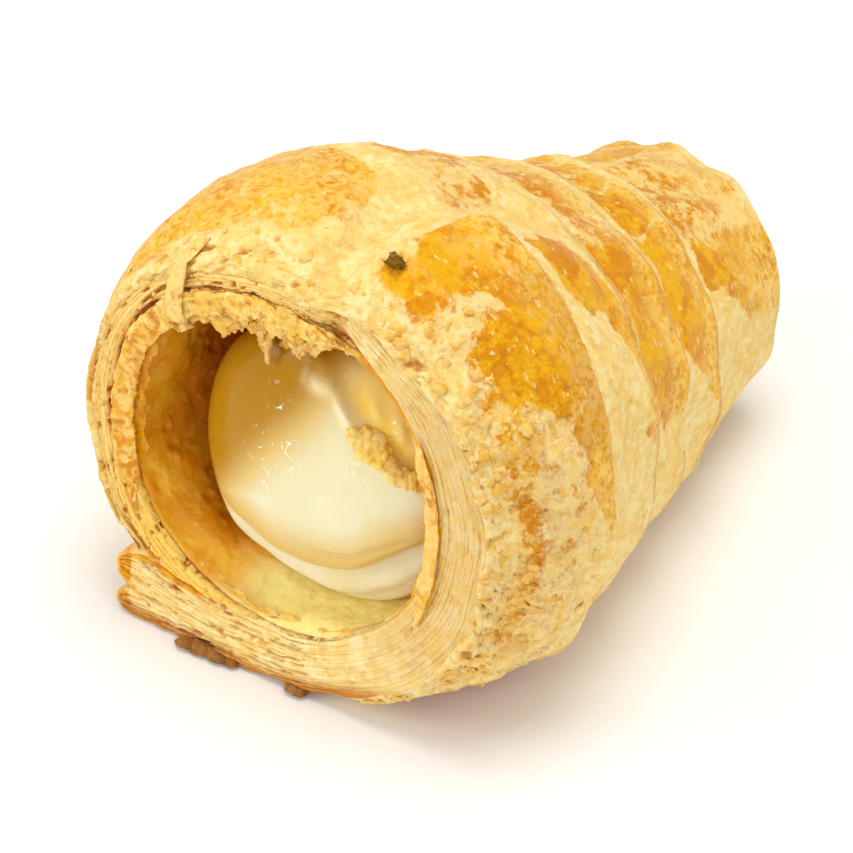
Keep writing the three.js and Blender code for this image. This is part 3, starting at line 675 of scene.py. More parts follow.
def relief_tree():
    """Moves each point of a surface along its normal, by what baking did there."""
    tree, given, exit_node = new_tree(
        "baked relief", "GeometryNodeTree",
        {"Dough": "NodeSocketGeometry", "Material": "NodeSocketMaterial", **RELIEF_SIZES},
        {"Dough": "NodeSocketGeometry"})
    tree.is_modifier = True

    def kept(name, kind="FLOAT"):
        node = add_node(tree, "GeometryNodeInputNamedAttribute", {"data_type": kind}, Name=name)
        return wire(node, "Attribute")

    place = scaled(wire(tree.nodes.new("GeometryNodeInputPosition")), 1 / MM)
    place = combined(place, vector_wire(given["Shift"], given["Shift"], given["Shift"]))
    level = scale_relief(place, given["Scale Size"])
    pit = pit_relief(place, given["Pit Size"])
    round_edge, own, slit = layer_relief(kept("lie", "FLOAT_VECTOR"))
    layer = (round_edge - 0.6) * 0.7 + (own - 0.5) * 1.1 - slit * 2.2
    grain = noise_wire(place, 1.0 / given["Grain Size"], 3, 0.6)

    height = bubble_relief(place, given["Bubble Size"]) * given["Bubble Height"] * (kept("glaze") * 0.7 + 0.3)
    height = height + (level - 0.5) * given["Scale Step"] * kept("flaky")
    height = height - pit * given["Pit Depth"]
    height = height + layer * given["Layer Height"] * kept("layered")
    height = height + (grain - 0.5) * given["Grain Height"]

    dough = given["Dough"]
    store = {"data_type": "FLOAT", "domain": "POINT"}
    tone = round_edge * 0.55 + own * 0.45
    for key, value in (("level", level), ("pit", pit), ("layer", tone), ("slit", slit)):
        node = add_node(tree, "GeometryNodeStoreNamedAttribute", store, Geometry=dough, Name=key, Value=value)
        dough = wire(node)
    along_normal = scaled(wire(tree.nodes.new("GeometryNodeInputNormal")), height * MM)
    moved = add_node(tree, "GeometryNodeSetPosition", Geometry=dough, Offset=along_normal)
    real = add_node(tree, "GeometryNodeRealizeInstances", Geometry=wire(moved))
    dressed = add_node(tree, "GeometryNodeSetMaterial", Geometry=wire(real), Material=given["Material"])
    feed(exit_node.inputs["Dough"], wire(dressed))
    return tree


RELIEF = relief_tree()
print("relief tree:", len(RELIEF.nodes), "nodes")


# %% Running a tree on a mesh
def run_tree(mesh, tree, values):
    """The mesh as a Geometry Nodes tree leaves it, as plain data with no modifier."""
    holder = add_object("working", mesh)
    modifier = holder.modifiers.new("tree", "NODES")
    modifier.node_group = tree
    identifiers = {item.name: item.identifier for item in tree.interface.items_tree if item.in_out == "INPUT"}
    for label, value in values.items():
        modifier[identifiers[label]] = value
    depsgraph = bpy.context.evaluated_depsgraph_get()
    result = bpy.data.meshes.new_from_object(
        holder.evaluated_get(depsgraph), preserve_all_data_layers=True, depsgraph=depsgraph)
    bpy.data.objects.remove(holder)
    return result


def bake_relief(mesh, material, **sizes):
    """Runs the relief tree; names have _ for a space, and sizes are in mm."""
    given = {key.replace("_", " "): float(size) for key, size in sizes.items()}
    return run_tree(mesh, RELIEF, {"Material": material, **given})


print("sizes to set:", ", ".join(RELIEF_SIZES))

# %% [markdown]
# ## Colours of baked dough
# Baked dough is pale cream where nothing browned it, gold where egg glaze lies, deep orange where glaze
# pooled, and toasted brown underneath. Its top film tears into scales, glaze boils into small pits near an
# edge, and pale specks of dried film lie on it. The colour also holds painted light: a painted highlight on
# the rim of each scale, painted glints among the specks, and painted shade at the foot of each scale, where
# the dough lies low, in small dips and in the slits of a cut. The crust, the flakes, the ledges and the
# layered end all show this, each in its own share, so the colour is one shader group. It reads what the
# relief kept on the mesh, and puts out a colour, a mask of glaze and a height in mm; the shader itself stays
# in each material, where gloss can be set.

# %% Colour helpers
def seen(red, green, blue):
    """A colour as it is seen on a screen, from 0 to 255, turned into light values."""
    def light(value):
        value = value / 255
        return value / 12.92 if value <= 0.04045 else ((value + 0.055) / 1.055) ** 2.4
    return light(red), light(green), light(blue)


PALE_DOUGH = seen(246, 226, 158)
WARM_DOUGH = seen(244, 206, 116)
TAN_DOUGH = seen(239, 182, 86)
# a painted highlight on the rims of scales, and the pale shore of the glaze
HIGHLIGHT_AND_SHORE_WHITE = seen(255, 241, 194)
GOLD = seen(238, 175, 6)
DEEP_GOLD = seen(219, 139, 0)
WORN_GOLD = seen(238, 182, 36)
TOASTED = seen(198, 126, 44)
CREAM_WHITE = seen(240, 236, 206)
CUSTARD = seen(250, 208, 76)


def blend(amount, first, second):
    """The first colour where amount is 0, the second where it is 1."""
    first, second = [(*c, 1) if isinstance(c, tuple) else c for c in (first, second)]
    node = add_node(amount.tree, "ShaderNodeMix", {"data_type": "RGBA"}, Factor=amount, A=first, B=second)
    return wire(node, "Result")


def own_place(tree):
    """The place on the object, in mm."""
    return scaled(wire(tree.nodes.new("ShaderNodeTexCoord"), "Object"), 1 / MM)


def stored(tree, name, output="Fac"):
    """A number kept on the mesh, or a vector with output Vector."""
    node = tree.nodes.new("ShaderNodeAttribute")
    node.attribute_name = name
    return Wire(node.outputs[output])


def warped(place, scale, amount):
    """The place pushed about by noise, so that cells lose their straight sides."""
    push = add_node(place.tree, "ShaderNodeTexNoise", Vector=place, Scale=scale, Detail=2.0)
    return combined(place, scaled(wire(push, "Color"), amount))


print("pale dough in light values:", [round(value, 2) for value in PALE_DOUGH])


# %% Torn film, boiled glaze and specks
def torn_scales(place, scale, steps):
    """Flat scales of torn film: height in steps, a rim that gets a painted highlight, a foot that gets painted
    shade, and a number of their own.
    """
    rise = noise_wire(place, scale, 4, 0.55, 0.5) * steps
    tread = calc("FLOOR", rise)
    part = rise - tread
    rim = slope(part, 0.0, 0.10) * slope(part, 0.40, 0.15)
    return tread + slope(part, 0.0, 0.40), rim, slope(part, 0.70, 1.0), any_number(tread)


def boiled_pits(place, skin):
    """Where glaze boiled into small pits with thin walls, drawn out round the horn."""
    drawn_out = combined(skin, (0.55, 1.0, 0.0), "MULTIPLY")
    walls = cells_wire(warped(drawn_out, 1.1, 0.7), 1.0, "DISTANCE_TO_EDGE")
    return slope(walls, 0.02, 0.42) * slope(noise_wire(place, 0.5, 2), 0.42, 0.52)


def pale_specks_and_glints(place, skin, middle):
    """Small pale specks, gathered in patches: partly dried film, partly painted glints on the glaze."""
    drawn_out = combined(skin, (0.40, 1.05, 0.0), "MULTIPLY")
    specks = cells_wire(warped(drawn_out, 1.6, 0.5), 1.0)
    patches = slope(noise_wire(place, 0.21, 3), 0.44, 0.54)
    return slope(specks + (middle - 0.5) * 0.9, 0.24, 0.12) * patches


print("torn film, boiled glaze and specks, from noise and cells")

# %% The baked dough group
DOUGH_INPUTS = {
    "Skin": "NodeSocketVector", "Glaze": 0.0, "Brown": 0.0, "Pit": 0.0, "Pitting": 0.0, "Layered": 0.0,
    "Layer": 0.5, "Slit": 0.0, "Level": 0.5, "Scales": 1.0, "Flecks": 1.0,
    "Pale": PALE_DOUGH, "Warm": WARM_DOUGH, "Tan": TAN_DOUGH, "Gold": GOLD, "Deep": DEEP_GOLD,
}


def baked_dough_group():
    """Colour, glaze and height of baked dough."""
    tree, given, exit_node = new_tree("baked dough", "ShaderNodeTree", DOUGH_INPUTS,
                                      {"Color": (1.0, 1.0, 1.0), "Glazed": 0.0, "Height": 0.0})
    place = own_place(tree)
    broad = noise_wire(place, 0.11, 2)
    coarse = noise_wire(place, 0.30, 3, 0.55)
    middle = noise_wire(place, 0.85, 4, 0.6, 0.3)
    fine = noise_wire(place, 3.2, 3, 0.6)
    stair, rim, painted_foot_shade, own = torn_scales(warped(place, 0.35, 2.2), 0.26, 5)
    scales = given["Scales"]

    # bare dough, with painted shade where it lies low, in small dips and at the foot of a scale, and a painted
    # highlight on each scale's rim
    tone = slope(coarse * 0.4 + middle * 0.6, 0.60, 0.42)
    colour = blend(tone, given["Pale"], given["Warm"])
    # painted shade where the scale relief lies low
    low = slope(given["Level"], 0.55, 0.25) * scales
    colour = blend(low * 0.6, colour, given["Tan"])
    hollows = noise_wire(combined(place, (3.0, 9.0, 1.0)), 0.55, 4, 0.6)
    # the dips are lowered in the height, and also get painted shade in the colour
    hollow = slope(hollows, 0.50, 0.64)
    colour = blend(hollow * 0.45, colour, given["Tan"])
    colour = blend(painted_foot_shade * scales * 0.5, colour, given["Tan"])
    # painted highlight on the rim of each scale
    colour = blend(rim * scales * 0.3, colour, HIGHLIGHT_AND_SHORE_WHITE)

    # glaze with a ragged shore, deeper where it pooled and worn in places
    ragged = given["Glaze"] + (coarse - 0.5) * 0.7 + (middle - 0.5) * 0.7
    ragged = ragged + (fine - 0.5) * 0.45 + (own - 0.5) * 0.2
    glazed = slope(ragged, 0.28, 0.60)
    pooled = slope(coarse * 0.35 + broad * 0.25 + middle * 0.30 + fine * 0.10, 0.45, 0.56)
    golden = blend(pooled, given["Gold"], given["Deep"])
    worn = slope(noise_wire(combined(place, (7.0, 3.0, 5.0)), 0.24, 4, 0.6), 0.57, 0.66)
    golden = blend(worn * 0.6, golden, WORN_GOLD)
    boiled = boiled_pits(place, given["Skin"])
    pitted = blend(boiled * 0.8, seen(250, 206, 100), given["Deep"])
    golden = blend(given["Pitting"] * slope(middle, 0.40, 0.54) * 0.9, golden, pitted)
    colour = blend(glazed, colour, golden)
    shore = slope(ragged, 0.26, 0.38) * slope(ragged, 0.56, 0.42)
    colour = blend(shore * slope(fine, 0.42, 0.55) * 0.3, colour, HIGHLIGHT_AND_SHORE_WHITE)
    colour = blend(given["Pit"] * glazed * 0.6, colour, seen(206, 116, 12))

    # pale specks: partly dried film, partly painted glints, most of them on the glaze
    speck = pale_specks_and_glints(place, given["Skin"], middle) * given["Flecks"] * (0.3 + glazed * 0.7)
    colour = blend(speck * 0.7, colour, seen(255, 230, 150))

    # the layers of a cut, with painted shade in their slits, and what the tray and the oven browned
    line = slope(given["Layer"] + (fine - 0.5) * 0.2, 0.62, 0.30) * given["Layered"]
    colour = blend(line * 0.7, colour, given["Tan"])
    # painted shade in the slits between sheets
    colour = blend(given["Slit"] * given["Layered"] * 0.8, colour, seen(200, 128, 36))
    browned = slope(given["Brown"] + (middle - 0.5) * 0.5 + (fine - 0.5) * 0.15, 0.20, 1.05)
    colour = blend(browned, colour, TOASTED)

    height = stair * scales * 0.12 + fine * 0.03 + middle * 0.22 - hollow * 0.10 + speck * 0.06
    feed(exit_node.inputs["Color"], colour)
    feed(exit_node.inputs["Glazed"], glazed)
    feed(exit_node.inputs["Height"], height - boiled * given["Pitting"] * glazed * 0.10)
    return tree


BAKED_DOUGH = baked_dough_group()
print("baked dough group:", len(BAKED_DOUGH.nodes), "nodes")

# %% [markdown]
# ## Materials of dough
# A material of dough is that group under a shader, with its own share of glaze, scales and specks. Dough lets
# a little light in, and glaze lies on it as a thin clear coat, which is what makes it look wet and not
# painted.

# %% A dough material
SOAK_COLOURS = (1.0, 0.75, 0.35)  # how far red, green and blue light travel in dough, beside each other
BARE_ROUGHNESS, GLAZE_ROUGHNESS = 0.62, 0.40


def start_material(name, roughness=0.5, soak=None, **settings):
    """A material with its shader; a setting's name has _ for a space."""
    material = bpy.data.materials.new(name)
    material.use_nodes = True
    shader = material.node_tree.nodes["Principled BSDF"]
    shader.inputs["Roughness"].default_value = roughness
    if soak:
        shader.inputs["Subsurface Radius"].default_value = soak
    for key, value in settings.items():
        shader.inputs[key.replace("_", " ")].default_value = value
    return material, material.node_tree, shader


def bump_into(tree, shader, height, strength=1.0):
    """Fine relief in the shading; the height is in mm."""
    node = add_node(tree, "ShaderNodeBump", Height=height, Strength=strength, Distance=MM)
    feed(shader.inputs["Normal"], wire(node))


def dough_material(name, glaze, brown, *bare, skin=None, gloss=0.18, relief=1.0, scales=1.0, flecks=1.0,
                   glow=0.1):
    """Baked dough, its bare colours from pale to tan as they are seen.

    glaze and brown are numbers, or names of what the mesh keeps, and glow is how much light soaks in.
    """
    material, tree, shader = start_material(
        name, soak=SOAK_COLOURS, IOR=1.45, Subsurface_Weight=glow, Subsurface_Scale=0.0015,
        Coat_Roughness=0.12, Specular_IOR_Level=0.1)
    group = tree.nodes.new("ShaderNodeGroup")
    group.node_tree = BAKED_DOUGH
    shares = {"Glaze": glaze, "Brown": brown, "Scales": scales, "Flecks": flecks, "Pit": "pit",
              "Pitting": "pitting_and_glints", "Layered": "layered", "Layer": "layer", "Slit": "slit", "Level": "level"}
    for label, value in shares.items():
        feed(group.inputs[label], stored(tree, value) if isinstance(value, str) else value)
    feed(group.inputs["Skin"], stored(tree, skin, "Vector") if skin else own_place(tree))
    for label, colour in zip(("Pale", "Warm", "Tan"), bare):
        group.inputs[label].default_value = (*seen(*colour), 1)
    glazed = wire(group, "Glazed")
    feed(shader.inputs["Base Color"], wire(group, "Color"))
    feed(shader.inputs["Roughness"], slope(glazed, 0.0, 1.0, BARE_ROUGHNESS, GLAZE_ROUGHNESS))
    feed(shader.inputs["Coat Weight"], glazed * gloss)
    bump_into(tree, shader, wire(group, "Height"), relief)
    return material


GLAZED_CRUST = dough_material("glazed crust", "glaze", "brown", skin="skin", scales="flaky")
print("nodes:", len(GLAZED_CRUST.node_tree.nodes))

# %% [markdown]
# ## The cut side and the wall of the hollow
# The cut side never saw the brush: it shows fibres that run along each sheet, pale ones beside golden ones,
# and slits between them, darkened with painted shade. The wall of the hollow was steamed against the metal
# cone, so it is amber, moist and smoother, and paler on its floor; painted shade darkens it further in.
# Neither has scales or boiled glaze, so each has a short material of its own instead of the group.

# %% The cut layers
def cut_layers_material():
    """The cut side of the dough: pale sheets, with painted shade in the slits between them, in the gap and
    groove and behind the loose sheets.
    """
    material, tree, shader = start_material(
        "cut layers", 0.62, soak=(1.0, 0.62, 0.25), IOR=1.42, Subsurface_Weight=0.3, Subsurface_Scale=0.0016,
        Specular_IOR_Level=0.22)
    place = own_place(tree)
    broad = noise_wire(place, 0.25, 3)
    middle = noise_wire(place, 0.8, 4, 0.6)
    lie = add_node(tree, "ShaderNodeSeparateXYZ", in_0=stored(tree, "lie", "Vector"))
    fibres_at = vector_wire(wire(lie, "X") * 0.5, wire(lie, "Y") * 2.2, wire(lie, "Z"))
    fibres = noise_wire(fibres_at, 1.0, 3, 0.6)
    tone = stored(tree, "layer") * 0.6 + fibres * 0.5 + broad * 0.25
    colour = blend(slope(tone, 0.48, 0.86), seen(230, 172, 84), seen(249, 212, 126))
    golden = blend(slope(tone, 0.5, 0.8), seen(236, 176, 60), seen(249, 208, 104))
    colour = blend(stored(tree, "golden") * slope(middle, 0.28, 0.55, 0.55, 1.0), colour, golden)
    # painted shade in the slits between sheets
    colour = blend(slope(stored(tree, "slit"), 0.25, 0.9) * 0.9, colour, seen(200, 124, 30))
    # painted shade in the gap, the groove and behind the loose sheets, plus the outer film's own deeper orange
    colour = blend(stored(tree, "painted_shade_and_film_tone"), colour, seen(186, 100, 12))
    browned = slope(stored(tree, "brown") + (middle - 0.5) * 0.5, 0.15, 1.05)
    feed(shader.inputs["Base Color"], blend(browned, colour, TOASTED))
    bump_into(tree, shader, fibres * 0.14 + middle * 0.12)
    return material


CUT_LAYERS = cut_layers_material()
print("nodes:", len(CUT_LAYERS.node_tree.nodes))


# %% The wall of the hollow
def hollow_material():
    """Dough steamed against the cone: amber, a little moist and translucent, with painted shade that darkens it
    further in.
    """
    material, tree, shader = start_material(
        "hollow wall", 0.42, soak=(1.0, 0.55, 0.12), IOR=1.42, Subsurface_Weight=0.15, Subsurface_Scale=0.002,
        Coat_Weight=0.12, Coat_Roughness=0.2)
    place = own_place(tree)
    coarse = noise_wire(place, 0.22, 3, 0.5)
    middle = noise_wire(place, 0.7, 4, 0.6)
    colour = blend(slope(coarse, 0.38, 0.62), seen(246, 184, 36), seen(238, 160, 10))
    pale = stored(tree, "golden") + (coarse - 0.5) * 0.5 + (middle - 0.5) * 0.3
    colour = blend(slope(pale, 0.2, 0.8), colour, seen(255, 236, 142))
    colour = blend(slope(middle, 0.56, 0.70) * 0.5, colour, seen(252, 214, 96))
    # painted shade, darker further into the hollow
    colour = blend(stored(tree, "painted_shade_and_film_tone"), colour, seen(196, 98, 0))
    feed(shader.inputs["Base Color"], colour)
    bump_into(tree, shader, middle * 0.22 + coarse * 0.5)
    return material


HOLLOW_WALL = hollow_material()
print("nodes:", len(HOLLOW_WALL.node_tree.nodes))

# %% [markdown]
# ## The material of the cream
# Cooked cream is smooth and satin, because light goes in and comes out again a few millimetres away. It is
# whiter where it is thick and yellower where it is thin or custardy. Its colour also holds painted shade, at
# its upper left, low on it, under the fold and round its edge, and painted glints where it broke up a little.
# The shape writes down where each of these is, and the material only has to blend the colours.

# %% The cream
def cream_material():
    """Cooked cream: smooth and satin, lit from within, yellower where it is thin or custardy, with painted
    shade and painted glints.
    """
    material, tree, shader = start_material(
        "cooked cream", soak=(1.0, 0.95, 0.75), IOR=1.40, Subsurface_Weight=0.25, Subsurface_Scale=0.003,
        Coat_Weight=0.15, Coat_Roughness=0.08, Specular_IOR_Level=0.12)
    place = own_place(tree)
    soft = noise_wire(place, 0.08, 2, 0.5)
    wet = noise_wire(place, 0.30, 2, 0.5)
    small = noise_wire(place, 0.9, 1)
    # where the cream broke up: painted glints and small bumps go there
    painted_shade_and_film_tone, broken = stored(tree, "painted_shade_and_film_tone"), stored(tree, "pitting_and_glints")
    colour = blend(slope(soft, 0.40, 0.62), CREAM_WHITE, seen(237, 228, 184))
    colour = blend(stored(tree, "custard"), colour, CUSTARD)
    # painted shade: darker at the upper left, low over the fold, under it and round the edge, and on the body
    # behind
    colour = blend(slope(painted_shade_and_film_tone, 0.0, 0.60), colour, seen(227, 195, 116))
    colour = blend(slope(painted_shade_and_film_tone, 0.42, 1.0), colour, seen(184, 130, 16))
    colour = blend(stored(tree, "golden"), colour, seen(253, 240, 190))
    # painted glints: thin near-white streaks in those spots
    glint_streak = calc("ABSOLUTE", noise_wire(place, 0.5, 1) - 0.5)
    painted_glint = slope(glint_streak, 0.022, 0.008) * slope(small, 0.52, 0.60) * broken
    colour = blend(painted_glint * 0.9, colour, seen(255, 254, 244))
    feed(shader.inputs["Base Color"], colour)
    feed(shader.inputs["Roughness"], slope(wet, 0.38, 0.62, 0.20, 0.34))
    bump_into(tree, shader, wet * 0.35 + small * broken * 0.15)
    return material


COOKED_CREAM = cream_material()
print("nodes:", len(COOKED_CREAM.node_tree.nodes))

# %% [markdown]
# ## The turns of the strip
# On the real horn the crust is a strip that overlaps itself, so each turn here is its own closed sleeve. Its
# near end hides under the turn before, and its far end stands up, rounds over and drops on to the next turn.
# One sleeve for the whole horn would be simpler, but then an edge could only be a slope and not an edge with
# dough behind it.

# %% Sizes of a turn
TURN_EDGES = [0.0, *SEAMS, BODY_LENGTH]
TURN_NAMES = ["last_turn", "second_turn", "third_turn", "tip_turn"]
TURN_ROWS = [128, 50, 46, 62]
TURN_COLUMNS = [640, 600, 560, 520]
CRUST_THICK = 2.4
HIDDEN_LENGTH = 2.5  # how far a turn reaches under the one before
SHEETS_PER_MM = 1.7
FAR_EDGE = [(0.22, 0.25), (0.30, 0.7), (0.24, 1.2), (0.05, 1.7), (-0.6, CRUST_THICK)]  # (mm past it, mm down)
MOUTH_RIM = [(1.25, -0.1), (1.0, 0.15), (0.62, 0.30), (0.25, 0.22)]  # (mm in, mm out of it)
TIP_RINGS = 18
print(len(TURN_NAMES), "turns with edges at", TURN_EDGES, "mm")


# %% What a turn keeps on its points
def angles_round(columns):
    """Angles that start and end at the bottom, where the horn rests."""
    return -90 + np.arange(columns) * 360 / columns


def crust_values(angle, s, u, radius, inset=0.0):
    """What the relief and the colours need to know along one ring."""
    near_mouth = 1 - ramp(14, 24, s)
    flaky = 0.25 + 0.75 * near_mouth * ramp(75, 30, np.abs(between(angle, -10)))
    off = np.abs(between(angle, VALLEY_ANGLE(s))) / (VALLEY_HALF_WIDTH(s) * 1.6)
    flaky = np.maximum(flaky, 0.3 * (1 - ramp(0.6, 1.3, off)) * (1 - ramp(30, 40, s)))

    lobe = ramp(84, 92, angle) * (1 - ramp(24, 30, s))
    last_edge = ramp(14, 20, s) * (1 - ramp(23, 25, s)) * (1 - ramp(50, 78, np.abs(between(angle, 20))))
    pitting_and_glints = np.maximum(np.maximum(0.85 * lobe, last_edge), ramp(0.45, 0.85, u) * ramp(36, 40, s))

    top = ramp(84, 100, angle) * (1 - ramp(124, 146, angle))
    rim_length = mix(0.9, 3.2, top) * (1 - 0.7 * ramp(146, 160, angle))
    layered = 1 - ramp(rim_length - 0.5, rim_length + 0.5, s + 0.5 * edge_waves(angle, 2.0) * 0.3)

    arc = np.radians(angle) * radius
    s = np.broadcast_to(s, angle.shape)
    lie = np.stack(np.broadcast_arrays(arc, (s - inset) * SHEETS_PER_MM, radius), -1)
    skin = np.stack(np.broadcast_arrays(arc, s, 0.0), -1)
    return {"glaze": glaze_at(angle, s) * (1 - layered), "brown": browned_at(angle, s), "flaky": flaky,
            "layered": layered, "lie": lie, "skin": skin, "pitting_and_glints": pitting_and_glints}


def stack_values(values):
    """What each ring keeps, as one array for each name; a plain number stands for its whole ring."""
    return {key: np.stack(np.broadcast_arrays(*[np.atleast_1d(ring[key]) for ring in values]))
            for key in values[0]}


print("torn film beside the mouth:", float(crust_values(angles_round(4), 5.0, 0.2, 30.0)["flaky"][1]))


# %% Rings of a turn
def turn_rings(turn):
    """Rings over the outside of a turn, round its far edge and back inside it."""
    angle = angles_round(TURN_COLUMNS[turn])
    last = turn == len(TURN_NAMES) - 1
    near = TURN_EDGES[turn] + (SEAM_WANDER * seam_waves(angle, turn * 3) if turn else 0.0)
    far = TURN_EDGES[turn + 1] + (0.0 if last else SEAM_WANDER * seam_waves(angle, turn * 3 + 3))
    far = far + (0.0 if last else 0.18 * edge_waves(angle * 2, turn * 7.0))
    length = TURN_EDGES[turn + 1] - TURN_EDGES[turn]
    first_u = -HIDDEN_LENGTH / length if turn else 0.0
    rings, values = [], []

    def add_ring(s, u, radius, out=0.0, inset=0.0, edge=0.0, outside=0.0):
        rings.append(horn_point(s, angle, radius, out))
        kept = crust_values(angle, s, np.clip(u, 0, 1), radius, inset)
        kept["layered"] = np.maximum(kept["layered"], edge)
        kept["glaze"] = kept["glaze"] * (1 - edge)
        kept["outside"] = outside
        kept["angle"] = angle
        values.append(kept)

    for t in np.linspace(0, 1, TURN_ROWS[turn]):
        u = mix(first_u, 1, mix(t, t * t, 0.0 if turn else 0.35))
        s = mix(near, far, u)
        tucked = 0.9 * ramp(0, first_u, u) if turn else 0.0
        add_ring(s, u, outer_radius(s) + strip_height(angle, s, u) - tucked, outside=1.0)
    if last:
        for q in np.linspace(0.06, 0.98, TIP_RINGS):
            s = BODY_LENGTH + TIP_ROUND * math.sin(q * math.pi / 2)
            share = math.cos(q * math.pi / 2)
            coil = 0.35 * np.sin(np.radians(angle) + q * 9) * share
            add_ring(s, 1.0, (outer_radius(s) + strip_height(angle, BODY_LENGTH, 1.0)) * share + coil)
        return rings, values

    edge = outer_radius(far) + strip_height(angle, far, 1.0)
    for past, down in FAR_EDGE:
        add_ring(far + past, 1.0, edge - down, edge=1.0 if 0.4 < down < 2 else 0.0)
    start = near - HIDDEN_LENGTH if turn else near + 0.9
    for q in (0.0, 0.35, 0.7, 1.0):
        s = mix(far - 2.5, start, q)
        add_ring(s, 0.5, outer_radius(s) + strip_height(angle, s, 0.2) - CRUST_THICK * (1 - 0.4 * q))
    if turn == 0:
        rim = outer_radius(0) + strip_height(angle, 0.0, 0.0)
        lip = (1 - ramp(205, 218, angle)) * ramp(-92, -40, angle)
        ragged = 0.16 * edge_waves(angle * 2, 3.0)
        for inset, out in MOUTH_RIM:
            out = (out + ragged) * lip - 0.4 * (1 - lip)
            add_ring(np.zeros_like(angle), 0.0, rim - inset, out, inset, 1.0)
    return rings, values


print("the last turn:", TURN_ROWS[0], "rings over the outside,", len(FAR_EDGE), "round its far edge")

# %% The four turns
for turn, name in enumerate(TURN_NAMES):
    rings, values = turn_rings(turn)
    ends = "points" if turn == len(TURN_NAMES) - 1 else "joined"
    mesh = bake_relief(skin_mesh(name, rings, stack_values(values), ends), GLAZED_CRUST,
                       Bubble_Height=0.32, Bubble_Size=2.3, Scale_Step=0.6 if turn else 1.1, Scale_Size=3.6,
                       Pit_Depth=0.22, Pit_Size=1.5, Layer_Height=0.22, Grain_Height=0.22, Grain_Size=0.9,
                       Shift=turn * 40)
    place_piece(name, mesh, GLAZED_CRUST)

# %% [markdown]
# ## The cut edge round the mouth
# The mouth shows the strip from the side: dozens of thin sheets of dough that butter kept apart, with slits
# between them, and a deeper gap where the outer turn lies on the inner one. A profile that says how far each
# part of the wall stands out is swept round the mouth, and the relief tree raises the sheets along it. On the
# right side and below, where the sheets come forward one by one, the profile stays back and leaves room for
# real sheets.

# %% Where the parts of the cut edge are
EDGE_COLUMNS, EDGE_ROWS = 880, 66
# places across the wall are shares: 0 at the outside, 1 at the hollow
gap_share = smooth_curve([(-90, 0.93), (40, 0.84), (80, 0.74), (110, 0.64), (190, 0.60), (214, 0.38),
                          (224, 0.41), (236, 0.50), (246, 0.68), (257, 0.92), (270, 0.95)])
GAP_HALF_WIDTH = 0.05
FILM_AT, FILM_HALF_WIDTH = 0.15, 0.035  # the groove under the outermost film, on the left
BUNDLE_FROM, BUNDLE_TO = -96, 76  # the degrees between which loose sheets make the wall
EDGE_BACK = 1.0
# (distance from the mouth, mm behind the hollow's wall)
EDGE_INSIDE = [(0.5, 0.15), (1.0, 0.7), (1.8, 1.2), (3.0, 2.4), (4.2, 4.6)]


def in_bundle(angle, q):
    """1 where loose sheets make the wall, 0 where the cut profile does, at share q of the wall."""
    middle, half = (BUNDLE_FROM + BUNDLE_TO) / 2, (BUNDLE_TO - BUNDLE_FROM) / 2
    right = 1 - ramp(half - 6, half + 3, np.abs(between(angle, middle)))
    below_ring = ramp(208, 222, angle) * (1 - ramp(-0.04, 0.02, q - gap_share(angle)))
    return np.maximum(right, below_ring)


def hill(value, middle, half_width):
    """1 at the middle, falling to nothing on both sides."""
    return np.exp(-((value - middle) / half_width) ** 2)


print("the gap lies at", float(gap_share(110)), "of the wall at the top of the mouth")


